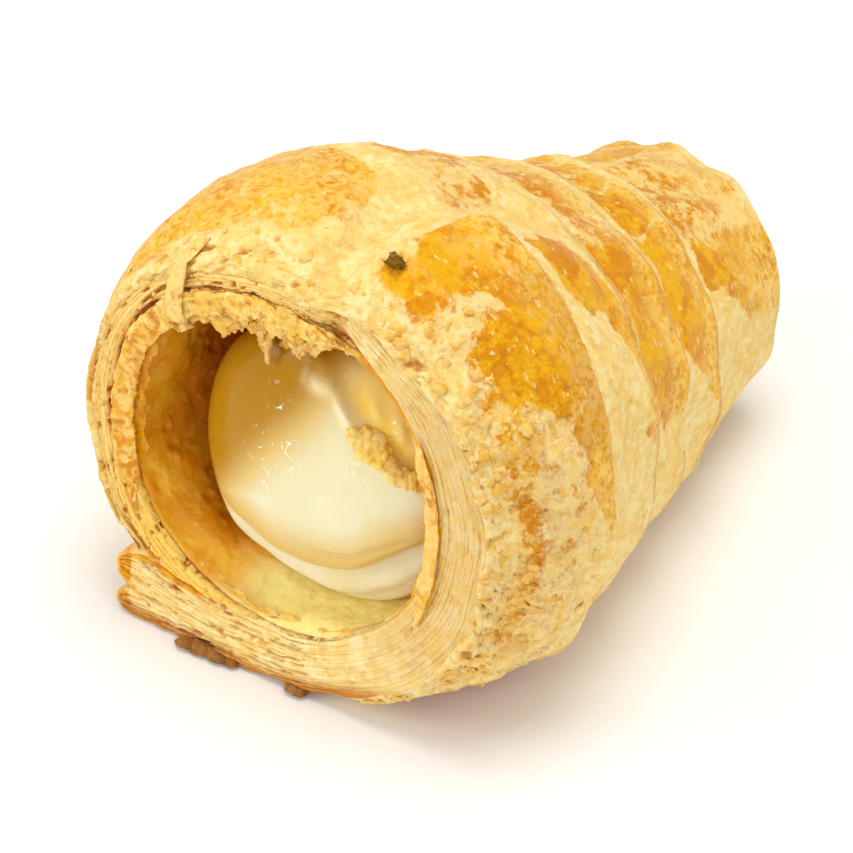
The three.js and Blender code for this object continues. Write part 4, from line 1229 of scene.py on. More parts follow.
# %% The swept profile
def cut_edge_mesh():
    """The profile of the cut, swept round the mouth."""
    angle = angles_round(EDGE_COLUMNS)
    rim = outer_radius(0) + strip_height(angle, 0.0, 0.0)
    inner = hollow_radius(0) + 0.1
    gap_at = gap_share(angle)
    holes = 0.5 + 0.5 * np.sin(np.radians(angle) * 23 + 2 * seam_waves(angle * 3, 1.0))
    rings, values = [], []

    def add_ring(q, s, out, radius):
        share = np.clip((outer_radius(0) - radius) / (outer_radius(0) - hollow_radius(0)), 0, 1)
        rings.append(horn_point(s, angle, radius, out, HOLLOW_SHIFT_X * share, HOLLOW_SHIFT_Z * share))
        lie = np.stack(np.broadcast_arrays(np.radians(angle) * 27, (radius + s) * 1.75, 0.0), -1)
        gap = hill(q, gap_at, GAP_HALF_WIDTH) * (1 - 0.85 * ramp(196, 214, angle))
        groove = hill(q, FILM_AT, FILM_HALF_WIDTH) * ramp(120, 150, angle) * (1 - ramp(225, 240, angle))
        film = ramp(0.17, 0.10, q) * ramp(118, 146, angle) * (1 - ramp(226, 240, angle))
        # painted shade: in the gap, most where it opens into holes, in the film's groove and behind the loose
        # sheets
        painted_shade_and_film_tone = np.clip(gap * holes * 1.2 - 0.2, 0, 1) * 0.9 + 0.4 * groove + 0.3 * in_bundle(angle, q)
        # the outer film adds its own deeper orange to that painted shade
        values.append({"layered": 1.0 - 0.6 * gap - 0.35 * film, "lie": lie,
                       "golden": np.maximum(ramp(0.02, 0.10, q - gap_at), np.maximum(0.9 * groove, film)),
                       "painted_shade_and_film_tone": painted_shade_and_film_tone + 0.45 * film, "brown": 0.0, "glaze": 0.0, "flaky": 0.5})

    for q in np.linspace(0.05, 1.0, EDGE_ROWS):
        bundle = in_bundle(angle, q)
        lip = hill(q, gap_at + 0.16, 0.10) * (1 - ramp(225, 245, angle))
        groove = hill(q, FILM_AT, FILM_HALF_WIDTH) * ramp(110, 150, angle) * (1 - ramp(225, 240, angle))
        out = 0.15 - 0.5 * groove - hill(q, gap_at, GAP_HALF_WIDTH) * (0.5 + 1.4 * holes) + 0.6 * lip
        out = (out + 0.14 * edge_waves(angle, q * 9)) * (1 - bundle)
        add_ring(q, 0.0, out - EDGE_BACK * bundle - 0.5 * ramp(0.94, 1, q), mix(rim, inner, q))
    bundle = in_bundle(angle, 1.0)
    for s, behind in EDGE_INSIDE:
        add_ring(0.5, s + EDGE_BACK * bundle, 0.0, hollow_radius(s) + behind + 0 * angle)
    add_ring(0.3, 2.2 + 1.2 * bundle, 0.0, rim - 1.3)
    return skin_mesh("cut_edge", rings, stack_values(values))


cut_edge = bake_relief(cut_edge_mesh(), CUT_LAYERS, Bubble_Height=0.0, Scale_Step=0.6, Scale_Size=1.6,
                       Pit_Depth=0.7, Pit_Size=1.2, Layer_Height=0.26, Grain_Height=0.14, Grain_Size=0.7,
                       Shift=210)
place_piece("cut_edge", cut_edge, CUT_LAYERS)

# %% [markdown]
# ## The wall of the hollow
# Inside, the dough took the shape of the cone and stayed soft, so its wall is a plain tube with low
# swellings. It is a piece of its own, because the solid's wall has too few faces for them, and it ends where
# the cream hides it.

# %% The tube of the wall
def hollow_mesh():
    """The wall from the mouth to where the hollow ends, and back outside itself."""
    angle = angles_round(480)
    rings, values = [], []

    def add_ring(s, outside, painted_shade_and_film_tone):
        fade = 1 - s / BODY_LENGTH
        rough = 0.22 * wall_waves(angle, s) * ramp(0, 3, s)
        radius = hollow_radius(s) + rough + outside
        rings.append(horn_point(s, angle, radius, 0.0, HOLLOW_SHIFT_X * fade, HOLLOW_SHIFT_Z * fade))
        lie = np.stack(np.broadcast_arrays(np.radians(angle) * 22 * 0.5, s * 0.25, 0.0), -1)
        # painted shade, growing further into the hollow and weaker on its floor
        floor_share = 1 - ramp(6, 60, np.abs(between(angle, -76)))
        values.append({"layered": 0.0, "lie": lie, "painted_shade_and_film_tone": painted_shade_and_film_tone * (1 - 0.8 * floor_share),
                       "golden": floor_share, "glaze": 0.0, "flaky": 1.0})

    for s in [*np.linspace(0.8, 26, 84), *np.linspace(30, 68, 10)]:
        add_ring(s, 0.0, ramp(2, 15, s) * 0.95)
    for s in (68.5, 40, 20, 6, 1.5):
        add_ring(s, 1.4, 0.5)
    return skin_mesh("hollow_wall", rings, stack_values(values))


hollow_wall = bake_relief(hollow_mesh(), HOLLOW_WALL, Bubble_Height=0.5, Bubble_Size=4.0, Scale_Step=0.5,
                          Scale_Size=6.0, Pit_Depth=0.4, Pit_Size=3.0, Grain_Height=0.5, Grain_Size=2.4,
                          Shift=330)
place_piece("hollow_wall", hollow_wall, HOLLOW_WALL)

# %% [markdown]
# ## The loose sheets
# The last turn ends under the mouth, pressed flat by the horn's weight, and its cut side opens like the pages
# of a book: sixteen thin sheets that start at the two rounded ends on the left, run along the floor and curve
# up the right side. Each sheet is a closed leaf that follows one path, and its place in the stack says how
# far it lies between the outside and the hollow. A loop makes them from the lowest to the highest, which is
# easier to steer than scattering: the order, the gaps and the wide slit between two bundles matter.

# %% The path of the sheets
SHEETS = 16
LOWER_SHEETS = 6  # the sheets under the wide slit
SHEET_STEP = 0.24
END_X, STRAIGHT_TO_X = -26.2, -1.0
SLIT_OPENS = 1.0
BACK_DEPTH, RING_DEPTH = 25.0, 3.2  # how far the sheets reach inwards, under the horn and round the mouth
SMOOTHINGS = 24
CENTRE_HEIGHT = horn_point(0.0, -90, 0.0)[2]  # of the centre line over the tray, at the mouth
# height of the stack over the floor along x, and how far the hollow is from the centre line by angle
stack_height = smooth_curve([(-26.2, 10.6), (-20.5, 9.8), (-15.3, 8.6), (-10.4, 8.0), (-5, 8.1), (-1, 8.3)])
stack_inside = smooth_curve([(-90, 22.7), (-60, 22.8), (-30, 23.2), (0, 24.2), (24, 25.2), (50, 26.2),
                             (78, 27.4)])


def sheet_path():
    """Outside and inside points of the stack along its length, as (x, height over the centre line)."""
    straight = np.arange(END_X, STRAIGHT_TO_X, SHEET_STEP)
    angle = np.arange(-91.5, BUNDLE_TO + 3, SHEET_STEP / 0.5)
    turn = np.radians(angle)
    rim = outer_radius(0) + strip_height(np.maximum(angle, -54), 0.0, 0.0) - 0.5 + 1.1 * ramp(-66, -92, angle)
    corner = np.abs(np.cos(turn)) ** SECTION_POWER + np.abs(np.sin(turn)) ** SECTION_POWER
    corner = corner ** (-1 / SECTION_POWER)
    outer_h = np.maximum(rim * corner * np.sin(turn), -CENTRE_HEIGHT)
    outer = np.stack([rim * corner * np.cos(turn), outer_h], -1)
    shift = ramp(-92, -50, angle)
    inner = np.stack([stack_inside(angle) * np.cos(turn) - 1.2 * shift,
                      stack_inside(angle) * np.sin(turn) + 0.9 * shift - 0.3], -1)
    outside = np.concatenate([np.stack([straight, np.full_like(straight, -CENTRE_HEIGHT)], -1), outer])
    inside = np.concatenate([np.stack([straight, stack_height(straight) - CENTRE_HEIGHT], -1), inner])
    for _ in range(SMOOTHINGS):
        outside[1:-1] = (outside[:-2] + outside[2:]) / 4 + outside[1:-1] / 2
        inside[1:-1] = (inside[:-2] + inside[2:]) / 4 + inside[1:-1] / 2
    return outside, inside


def steps_along(points):
    """How far each point of a path is from its start."""
    return np.concatenate([[0], np.cumsum(np.hypot(*np.diff(points, axis=0).T))])


STACK_OUTSIDE, STACK_INSIDE = sheet_path()
STACK_LENGTH = steps_along((STACK_OUTSIDE + STACK_INSIDE) / 2)
print(f"the stack is {STACK_LENGTH[-1]:.1f} mm long")

# %% A sheet
# how deep each point of a leaf's section lies, as a share, and how thick the leaf is there
LEAF_DEPTHS = np.array([0, 0.004, 0.02, 0.05, 0.10, 0.35, 1.0])
LEAF_THICKNESS = np.array([0.35, 0.75, 1.0, 1.0, 1.0, 1.0, 0.9])
PULLED_IN = 0.10  # how much the far ends draw together behind, for each mm


def sheet_mesh(sheet, draw):
    """One leaf from its free end to the top of the mouth's right side."""
    lower = sheet < LOWER_SHEETS
    first, last = (0, LOWER_SHEETS) if lower else (LOWER_SHEETS, SHEETS)
    lobe_middle, lobe_half = (first + last) / 2 / SHEETS, (last - first) / 2 / SHEETS * stack_height(END_X)
    start = 0.15 * next(draw)
    kept = STACK_LENGTH >= start
    at, outer, inner = STACK_LENGTH[kept] - start, STACK_OUTSIDE[kept], STACK_INSIDE[kept]
    seeds = [next(draw) * 50 for _ in range(4)]

    def waves(pace, seed, octaves=2):
        places = [Vector((a * pace, seeds[seed], sheet * 2.3)) for a in at]
        return np.array([noise.fractal(place, 0.6, 2.1, octaves) for place in places])

    # where the leaf lies in the stack: the sheets of a bundle meet where it rounds over on the left
    wall = ramp(-2, 16, outer[:, 0])
    share = (sheet + 0.5 + 0.36 * waves(0.09, 0) + mix(0.22, 0.05, wall) * waves(0.3, 1)) / SHEETS
    roundness = np.sqrt(1 - np.clip(1 - at / lobe_half / 1.7, 0, 1) ** 2)
    share = lobe_middle + (share - lobe_middle) * (0.15 + 0.85 * roundness)
    share = share + SLIT_OPENS / SHEETS * (1 - ramp(0, 9, at)) * (-0.5 if lower else 0.5)
    span = np.hypot(*(inner - outer).T)
    half = mix(0.50, 0.80, wall) + mix(0.26, 0.08, wall) * waves(0.2, 2)
    half = np.clip(span / SHEETS * half * (0.3 + 0.7 * roundness), 0.05, 1)

    # how far it comes forward, and how deep it goes
    front = 0.30 + 0.34 * waves(0.12, 3) * (1 - 0.6 * wall) + 0.16 * waves(0.45, 1, 3) * (1 - 0.8 * wall)
    front = front - 0.35 * ramp(0.18, 0.3, waves(0.13, 2)) * (1 - 0.6 * wall)
    front = front - 1.6 * (1 - ramp(0, 10, STACK_LENGTH[-1] - STACK_LENGTH[kept]))
    depth_end = mix(BACK_DEPTH, RING_DEPTH, ramp(-9, 1, outer[:, 0]))
    inward = (inner - outer) / span[:, None]
    rings, values = [], []
    for i, x in enumerate(outer[:, 0]):
        depth = LEAF_DEPTHS * BACK_DEPTH
        depth = np.where(depth > 2, depth * depth_end[i] / BACK_DEPTH, np.minimum(depth, depth_end[i]))
        squeeze = mix(1 - 0.6 * ramp(6, BACK_DEPTH + 4, depth), 1, ramp(-9, 2, x))
        above, under = [(share[i] * span[i] + side * half[i] * LEAF_THICKNESS) * squeeze for side in (1, -1)]
        out = front[i] - depth
        out, reach = np.concatenate([out, out[::-1]]), np.concatenate([above, under[::-1]])
        across = x + inward[i, 0] * reach + PULLED_IN * np.maximum(0, -out) * ramp(-4, -14, x)
        tipped = np.sin(math.radians(turn_pitch(0))) * out * ramp(8, 0, x)
        height = outer[i, 1] + inward[i, 1] * reach - tipped
        rings.append(horn_point(0.0, 0, 0.0, out, across, height))

        left, right, low = 1 - ramp(-16, -8, x), ramp(4, 26, x), 1 - ramp(12, 28, x)
        tip = 1 - ramp(0.5, 3.5, at[i])
        brown = max(max(0.0, 1.0 - sheet * 0.16) * low + 0.15 * tip, right * 0.5)
        glaze = max(0.45 * tip, 0.10 * right)
        if not lower:
            rank = (sheet - LOWER_SHEETS) / (SHEETS - LOWER_SHEETS - 1)
            glaze = max((0.95 if sheet == SHEETS - 1 else 0.35 * rank) * left, 0.8 * tip, 0.10 * right)
        lie = np.stack([at[i] + 0 * out, reach * 2.6, out], -1)
        values.append({"glaze": glaze, "brown": brown, "lie": lie, "flaky": 0.3,
                       "layered": 0.8 - 0.55 * wall[i], "pitting_and_glints": 0.0})
    return skin_mesh("sheet", rings, stack_values(values), ends="points")


LOOSE_SHEETS = dough_material("loose sheets", "glaze", "brown", (254, 237, 176), (249, 218, 136),
                              (238, 188, 92), relief=0.5, scales=0.2, flecks=0.35, gloss=0.3)
print(SHEETS, "sheets,", LOWER_SHEETS, "of them under the slit")

# %% [markdown]
# ## The skin round the two ends
# On the left the strip's outer film stayed whole and bends round the end of each bundle, so the sheets show
# only on the cut side. It is one more leaf, whose path goes out along the top of the bundle, round its end
# and back below.

# %% Where the film lies
END_SKIN = 0.55
END_SLOPE = 0.06
END_LONG = 1.7  # an end is this much longer than it is thick
FILM_DEPTHS = np.array([0.0, 0.12, 0.4, 1.2, 3.0, 6.0, 10.0, 15.0, 20.0, 25.0])
FILM_THICKNESS = np.array([0.25, 0.8, 1.0, 1.0, 1.0, 1.0, 1.0, 1.0, 1.0, 0.6])


def end_path(first, last, top_to, bottom_to):
    """The film's path as x and height, round the end of the bundle from one sheet to another."""
    gap = SLIT_OPENS / SHEETS / 2 * stack_height(END_X)
    low = first / SHEETS * stack_height(END_X) + (gap if first else 0.0)
    high = last / SHEETS * stack_height(END_X) - (gap if last < SHEETS else 0.0)
    middle, half = (low + high) / 2, (high - low) / 2
    turn = np.linspace(math.pi / 2, 3 * math.pi / 2, 46)
    round_x = END_X + END_LONG * half + (END_LONG * half + 0.25) * np.cos(turn)
    round_h = middle + (half + 0.1) * np.sin(turn)
    before = np.linspace(top_to, round_x[0], 40)[:-1]
    after = np.linspace(round_x[-1], bottom_to, 40)[1:]
    if last == SHEETS:
        before_h = stack_height(before)
        before_h = before_h + (round_h[0] - before_h[-1])
    else:
        before_h = round_h[0] - END_SLOPE * (before - round_x[0])
    after_h = round_h[-1] + (END_SLOPE * (after - round_x[-1]) if first else 0 * after)
    return np.concatenate([before, round_x, after]), np.concatenate([before_h, round_h, after_h])


print("film round the ends:", END_SKIN, "mm thick")


# %% The film of both ends
def end_skin_mesh(first, last, top_to, bottom_to, seed):
    """The strip's outer film, bent round the end of the bundle from sheet first to sheet last."""
    x, height = end_path(first, last, top_to, bottom_to)
    normal = np.stack([-np.gradient(height), np.gradient(x)], -1)
    normal /= np.linalg.norm(normal, axis=1)[:, None]
    at = steps_along(np.stack([x, height], -1))
    taper = np.sqrt(ramp(0, 5, at) * ramp(0, 5, at[-1] - at))
    shrink = 1 - 0.6 * ramp(6, BACK_DEPTH + 4, FILM_DEPTHS)
    shrink = np.concatenate([shrink, shrink[::-1]])
    rings, values = [], []
    for i in range(len(x)):
        wave = noise.fractal(Vector((at[i] * 0.25, seed, 0)), 0.6, 2.1, 2)
        out = 0.05 + 0.25 * wave - FILM_DEPTHS
        out = np.concatenate([out, out[::-1]])
        thick = END_SKIN * (0.25 + 0.75 * taper[i]) * FILM_THICKNESS
        shift = np.concatenate([thick, -0.5 * thick[::-1]])
        across = x[i] - normal[i, 0] * shift + PULLED_IN * np.maximum(0, -out) * ramp(-4, -14, x[i])
        up = (height[i] - normal[i, 1] * shift) * shrink - CENTRE_HEIGHT
        rings.append(horn_point(0.0, 0, 0.0, out, across, up - np.sin(math.radians(turn_pitch(0))) * out))
        low = ramp(3.2, 0.2, height[i])
        lie = np.stack([at[i] + 0 * out, out, 0 * out], -1)
        values.append({"glaze": 0.42, "brown": 0.3 + 0.55 * low, "lie": lie, "flaky": 0.3, "layered": 0.0,
                       "pitting_and_glints": 0.4})
    mesh = skin_mesh("end_skin", rings, stack_values(values), ends="points")
    return bake_relief(mesh, LOOSE_SHEETS, Bubble_Height=0.15, Bubble_Size=2.2, Scale_Step=0.1, Pit_Depth=0.1,
                       Shift=seed)


both_ends = [end_skin_mesh(LOWER_SHEETS, SHEETS, -16.5, -21.5, 3.0),
             end_skin_mesh(0, LOWER_SHEETS, -22.0, -15.0, 9.0)]
place_piece("end_skin", joined("end_skin", both_ends), LOOSE_SHEETS)

# %% All the sheets
sheet_draw = random_source(500)
sheets = [bake_relief(sheet_mesh(k, sheet_draw), LOOSE_SHEETS, Layer_Height=0.05, Shift=k * 5)
          for k in range(SHEETS)]
for name, bundle in (("lower_sheets", sheets[:LOWER_SHEETS]), ("upper_sheets", sheets[LOWER_SHEETS:])):
    place_piece(name, joined(name, bundle), LOOSE_SHEETS)

# %% [markdown]
# ## Ragged ledges in the mouth
# Where the cone was pulled out, the innermost sheets tore. They hang from the top of the mouth in crumbly
# ledges, one behind the other, and smoother ones line its left and right sides and its floor. A ledge is a
# thin plate bent along the wall whose free edge follows noise; several of them, each with its own seed, leave
# the holes that torn dough has. One thick ring with deep relief would be quicker, but it could not have dark
# gaps behind its edges.

# %% Sizes of the ledges
DOUGH_CRUMB = dough_material("torn dough", "glaze", 0.0, (252, 220, 128), (246, 198, 92), (234, 168, 60),
                             relief=0.4, scales=0.3, flecks=0.4, gloss=0.2)
# name, from angle, to angle, depth in the mouth, overhang, thickness, raggedness, glaze, seed
LEDGES = [
    ("top_ledge", 66, 152, -0.9, 1.2, 0.5, 1.2, 0.1, 3),
    ("second_ledge", 62, 148, -0.1, 2.1, 0.45, 1.6, 0.1, 11),
    ("third_ledge", 64, 140, 0.7, 2.8, 0.45, 2.0, 0.2, 19),
    ("fourth_ledge", 66, 132, 1.5, 3.7, 0.45, 2.2, 0.2, 47),
    ("fifth_ledge", 68, 122, 2.2, 4.4, 0.45, 2.3, 0.3, 63),
    ("low_ledge", 72, 114, 2.9, 5.2, 0.5, 2.3, 0.3, 57),
    ("left_lip", 122, 214, -0.7, 1.3, 0.9, 0.35, 0.42, 27),
    ("left_fold", 140, 206, 0.5, 2.0, 0.8, 0.6, 0.6, 29),
    ("inner_lip", -30, 36, -0.9, 0.55, 0.6, 0.3, 0.3, 35),
    ("right_lip", -36, 32, -0.1, 1.1, 0.5, 0.2, 1.0, 71),
    ("floor_ledge", -120, -52, 1.2, 0.9, 0.4, 0.9, 0.1, 43),
]
# how crumbly the smoother ones are, where the others are 1
SMOOTH_LEDGES = {"left_lip": 0.35, "left_fold": 0.5, "inner_lip": 0.2, "right_lip": 0.15, "floor_ledge": 0.5}
LEDGE_STEP = 0.17
LEDGE_LOOP = 44
LEDGE_ROOT = 1.6  # how far a ledge is rooted in the wall
print(len(LEDGES), "ledges,", len(SMOOTH_LEDGES), "of them smooth")


# %% A ledge
def ledge_mesh(name, first, last, depth, reach, thick, ragged, glaze, seed):
    """A thin plate bent along the wall of the mouth, its free edge torn by noise."""
    rows = int(math.radians(last - first) * hollow_radius(0) / LEDGE_STEP)
    angle = np.linspace(first, last, rows)
    share = (angle - first) / (last - first)
    ends = np.sqrt(ramp(0, 0.2, share) * (1 - ramp(0.8, 1, share)))
    arc = np.radians(angle) * hollow_radius(0)
    turn = np.linspace(0, 2 * math.pi, LEDGE_LOOP, endpoint=False)
    along = np.sign(np.cos(turn)) * np.abs(np.cos(turn)) ** 0.6
    across = np.sign(np.sin(turn)) * np.abs(np.sin(turn)) ** 0.8
    swings = 0.4 if name in SMOOTH_LEDGES else 1
    rings, values = [], []
    for i, a in enumerate(angle):
        teeth = np.array([noise.fractal(Vector((arc[i] * 0.30, seed, v * 0.3)), 0.5, 2.2, 3) for v in across])
        swing = noise.noise(Vector((arc[i] * 0.24, seed + 50, 0))) * swings
        free = reach * ends[i] * (1 + 0.9 * swing) + ragged * ends[i] * teeth * (0.5 + 0.5 * along)
        swollen = 1 + 0.5 * noise.noise(Vector((arc[i] * 0.5, seed + 7, 0)))
        half = thick / 2 * (0.35 + 0.65 * ends[i]) * swollen
        span = (LEDGE_ROOT + free) * (0.1 + 0.9 * ends[i])
        radius = hollow_radius(0) + LEDGE_ROOT - span / 2 - span / 2 * along
        sag = 0.6 * noise.noise(Vector((arc[i] * 0.22, seed + 9, 0))) - 0.25 * (1 + along) * ends[i]
        out = -depth + sag + half * across * (0.75 - 0.25 * along)
        rings.append(horn_point(0.0, a, radius, out, HOLLOW_SHIFT_X, HOLLOW_SHIFT_Z))
        lie = np.stack([arc[i] + 0 * out, out * 2.4, radius], -1)
        values.append({"glaze": glaze, "flaky": 1.0, "lie": lie, "layered": 1.0, "pitting_and_glints": 0.0})
    mesh = skin_mesh(name, rings, stack_values(values), ends="points")
    crumbly = SMOOTH_LEDGES.get(name, 1.0)
    return bake_relief(mesh, DOUGH_CRUMB, Bubble_Height=0.15 * crumbly, Scale_Step=0.7 * crumbly,
                       Scale_Size=2.6, Pit_Depth=0.4 * crumbly, Pit_Size=1.9, Layer_Height=0.06 * crumbly,
                       Grain_Height=0.14, Shift=seed)


for ledge in LEDGES:
    place_piece(ledge[0], ledge_mesh(*ledge), DOUGH_CRUMB)

# %% [markdown]
# ## The cream
# The cream was piped into the mouth, so its face is a dome that a fold crosses where the last squeeze lay
# down over the first. Towards the upper right it is drawn into soft ridges, thinner and yellower. The dome
# and the long body behind it are one closed mesh, because a piped filling is one mass. Sculpting would suit a
# form like this, but a few named hills, grooves and ridges can be moved one by one.

# %% Sizes of the cream
CREAM_RADIUS = 19.6
CREAM_FRONT, CREAM_WIDEST = 0.9, 8.2  # how deep in the mouth the dome starts, and where it is widest
CREAM_GAP = 0.55  # between the cream's body and the hollow's wall
FOLD_DEPTH = 2.0
CREAM_COLUMNS, CREAM_ROWS = 420, 110
CREAM_BODY_AT = (9.5, 11, 13, 16, 20, 26, 34, 44, 56, 66, 69)
# how far the cream lies beside the centre line, and over it, by depth
cream_shift = smooth_curve([(0, 1.2), (12, 1.2), (30, 0)])
cream_sink = smooth_curve([(0, -2.6), (12, -2.2), (30, 0)])
# (x, height) of the fold across the face
fold_line = smooth_curve([(-15, -7), (-7.7, -9.4), (-4, -10.7), (0, -10.9), (3.8, -10.3), (7.2, -9.1),
                          (11.4, -6.1), (15, -3.7), (20, -0.6)])
# ridges of drawn-out cream: where each starts and ends on the face, its height and half width, how pale it is
CREAM_RIDGES = [((-1.3, 15.6), (3.4, 15.1), 0.4, 0.8, 1.0), ((3.0, 15.3), (7.6, 11.0), 0.9, 0.65, 1.0),
                ((7.3, 16.0), (10.5, 12.0), 1.0, 0.9, 0.3), ((10.8, 14.8), (13.7, 10.2), 1.2, 0.85, 0.3),
                ((13.4, 13.9), (16.2, 9.2), 0.9, 0.7, 0.3)]
# x, height and reach of the spots where the cream broke up a little: a little bumpy, with painted glints in its
# colour
GLINT_AND_BUMP_SPOTS = [(-5.5, 5.0, 4.0), (-1.5, 6.0, 3.4), (-4.5, 1.2, 2.6), (7.8, 7.0, 2.6), (7.1, 2.9, 2.6),
             (14.2, -10.5, 3.0), (-4.5, 12.0, 2.6), (11.0, 12.5, 3.0)]
print("cream:", 2 * CREAM_RADIUS, "mm across,", len(CREAM_RIDGES), "ridges")


# %% The face of the cream
def cream_face(spread):
    """How deep in the mouth the dome lies, at a distance from its middle."""
    share = np.clip(spread / CREAM_RADIUS, 0, 1)
    return mix(CREAM_FRONT, CREAM_WIDEST, 1 - np.sqrt(1 - share * share))


def ridge_relief(x, z):
    """Height of the drawn-out ridges, how custardy the cream is there, and how pale."""
    height = np.zeros_like(x)
    pale = np.zeros_like(x)
    for (x0, z0), (x1, z1), tall, half, pallor in CREAM_RIDGES:
        dx, dz = x1 - x0, z1 - z0
        t = np.clip(((x - x0) * dx + (z - z0) * dz) / (dx * dx + dz * dz), 0, 1)
        off = np.hypot(x - x0 - t * dx, z - z0 - t * dz)
        ridge = np.exp(-(off / half) ** 2) * np.sin(math.pi * np.clip(t, 0.12, 0.88))
        height = height + tall * ridge
        pale = np.maximum(pale, ridge * pallor)
    custard = ramp(-0.8, 1.6, (x - 7.6) * 0.62 + (z - 12.4) * 0.78)
    return height, custard, pale


def cream_relief(x, z):
    """How far the cream stands out of its dome, how far it steps back under the fold, custard and pallor."""
    strength = ramp(-13, -6, x)
    below = fold_line(x) - z
    back = FOLD_DEPTH * ramp(-1.6, 1.2, below) * strength
    groove = 0.6 * hill(below, 0.9, 0.8) * strength
    roll = 0.8 * hill(below, 3.8, 2.2) * strength
    second = z - (fold_line(x) + 4.3 - 0.16 * x)
    faint = 0.3 * hill(second, 0.0, 0.5) * ramp(-1, 5, x) * ramp(19, 13, x)
    ridges, custard, pale = ridge_relief(x, z)
    swelling = np.array([noise.noise(Vector((a * 0.14, b * 0.14, 7))) for a, b in zip(x, z)])
    return roll + ridges + 0.35 * swelling - groove - faint - 1.3 * custard, back, custard, pale


def cream_points(x, z, lift=0.0):
    """Places on the face of the cream, with its custard and pallor there."""
    relief, back, custard, pale = cream_relief(x, z)
    spread = np.hypot(x, z)
    share = np.clip(spread / CREAM_RADIUS, 0, 1)
    fade = 1 - share ** 10
    away = (relief + lift) * fade
    s = cream_face(spread)
    radius = spread * (1 - back * share ** 4 * 0.5 / CREAM_RADIUS) + away * share * 0.8
    out = away * np.sqrt(1 - 0.64 * share * share) - back * fade
    angle = np.degrees(np.arctan2(z, x))
    return horn_point(s, angle, radius, out, cream_shift(s), cream_sink(s)), custard, pale


print(f"the dome is {CREAM_WIDEST - CREAM_FRONT:.1f} mm deep")


# %% The filling
def cream_painted_shade(x, z, spread):
    """Painted shade on the cream's face: at its upper left under the ring, low on it over the fold, under the
    fold and round its edge.
    """
    height = z - fold_line(x)
    over_fold = ramp(0.6, -0.6, -height)
    shade = np.maximum(ramp(0, 12.5, -0.8 * x + 0.6 * z), ramp(11, 0.5, height) * 0.62 * over_fold)
    shade = np.maximum(shade, 0.22 * (1 - over_fold))
    return np.maximum(shade, 0.4 * ramp(14.5, 19.5, spread) * over_fold)


def cream_mesh():
    """The dome, and the body behind it down the hollow."""
    angle = angles_round(CREAM_COLUMNS)
    turn = np.radians(angle)
    rings, values = [], []
    for q in np.linspace(0.01, 1, CREAM_ROWS):
        spread = CREAM_RADIUS * math.sin(q * math.pi / 2)
        x, z = spread * np.cos(turn), spread * np.sin(turn)
        points, custard, pale = cream_points(x, z)
        rings.append(points)
        # spots of painted glints and small bumps
        wet = np.zeros_like(x)
        for at_x, at_z, reach in GLINT_AND_BUMP_SPOTS:
            wet = np.maximum(wet, 1 - ramp(0.3 * reach, reach, np.hypot(x - at_x, z - at_z)))
        # painted shade on the face, and the spots that get painted glints
        values.append({"custard": custard, "painted_shade_and_film_tone": cream_painted_shade(x, z, spread), "golden": 0.75 * pale,
                       "pitting_and_glints": wet})
    for s in CREAM_BODY_AT:
        fade = 1 - s / BODY_LENGTH
        radius = np.minimum(CREAM_RADIUS, hollow_radius(s) + 0.22 * wall_waves(angle, s) - CREAM_GAP)
        inner = ramp(12, 30, s)
        shift_x = mix(cream_shift(s), HOLLOW_SHIFT_X * fade, inner)
        shift_z = mix(cream_sink(s), HOLLOW_SHIFT_Z * fade, inner)
        rings.append(horn_point(s, angle, radius, 0.0, shift_x, shift_z))
        # the body behind the face, all in painted shade
        values.append({"custard": 0.0, "painted_shade_and_film_tone": 0.8, "golden": 0.0, "pitting_and_glints": 0.0})
    return skin_mesh("cream", rings, stack_values(values), ends="points")


place_piece("cream_filling", cream_mesh(), COOKED_CREAM, "cream")

# %% [markdown]
# ## Scraps, drips and one torn strip
# Small things make the horn look handled: a strip of the top film that tore loose and hangs over the cut
# edge, a crust of dough that came off the cone with the cream, one scorched crumb, and egg that ran down and
# baked brown where the horn touched the tray. Strips are ribbons that follow a path, and lumps are balls
# pushed about by noise.

# %% Ribbons
RIBBON_SIDES = 18


def ribbon_mesh(name, centre, across, width, thick, seed):
    """A closed ribbon; centre and across are rows of points and directions, width and thick are per row."""
    tangent = np.gradient(centre, axis=0)
    tangent /= np.linalg.norm(tangent, axis=1)[:, None]
    across = across - (across * tangent).sum(1)[:, None] * tangent
    across /= np.linalg.norm(across, axis=1)[:, None]
    normal = np.cross(tangent, across)
    turn = np.linspace(0, 2 * math.pi, RIBBON_SIDES, endpoint=False)
    rings = []
    for i, middle in enumerate(centre):
        places = [Vector((i * 0.13, math.cos(a) * 0.9, seed + math.sin(a))) for a in turn]
        half = np.array([1 + 0.35 * noise.noise(place) for place in places])[:, None]
        rings.append(middle + half * (np.cos(turn)[:, None] * across[i] * width[i] / 2
                                      + np.sin(turn)[:, None] * normal[i] * thick[i] / 2))
    return skin_mesh(name, rings, ends="points")


def along_path(path, rows):
    """A path's numbers at evenly spaced rows, each column as a smooth curve."""
    knots = np.array(path)
    row = np.linspace(0, len(knots) - 1, rows)
    return row, [smooth_curve(list(enumerate(column)))(row) for column in knots.T]


print("ribbons have", RIBBON_SIDES, "sides")

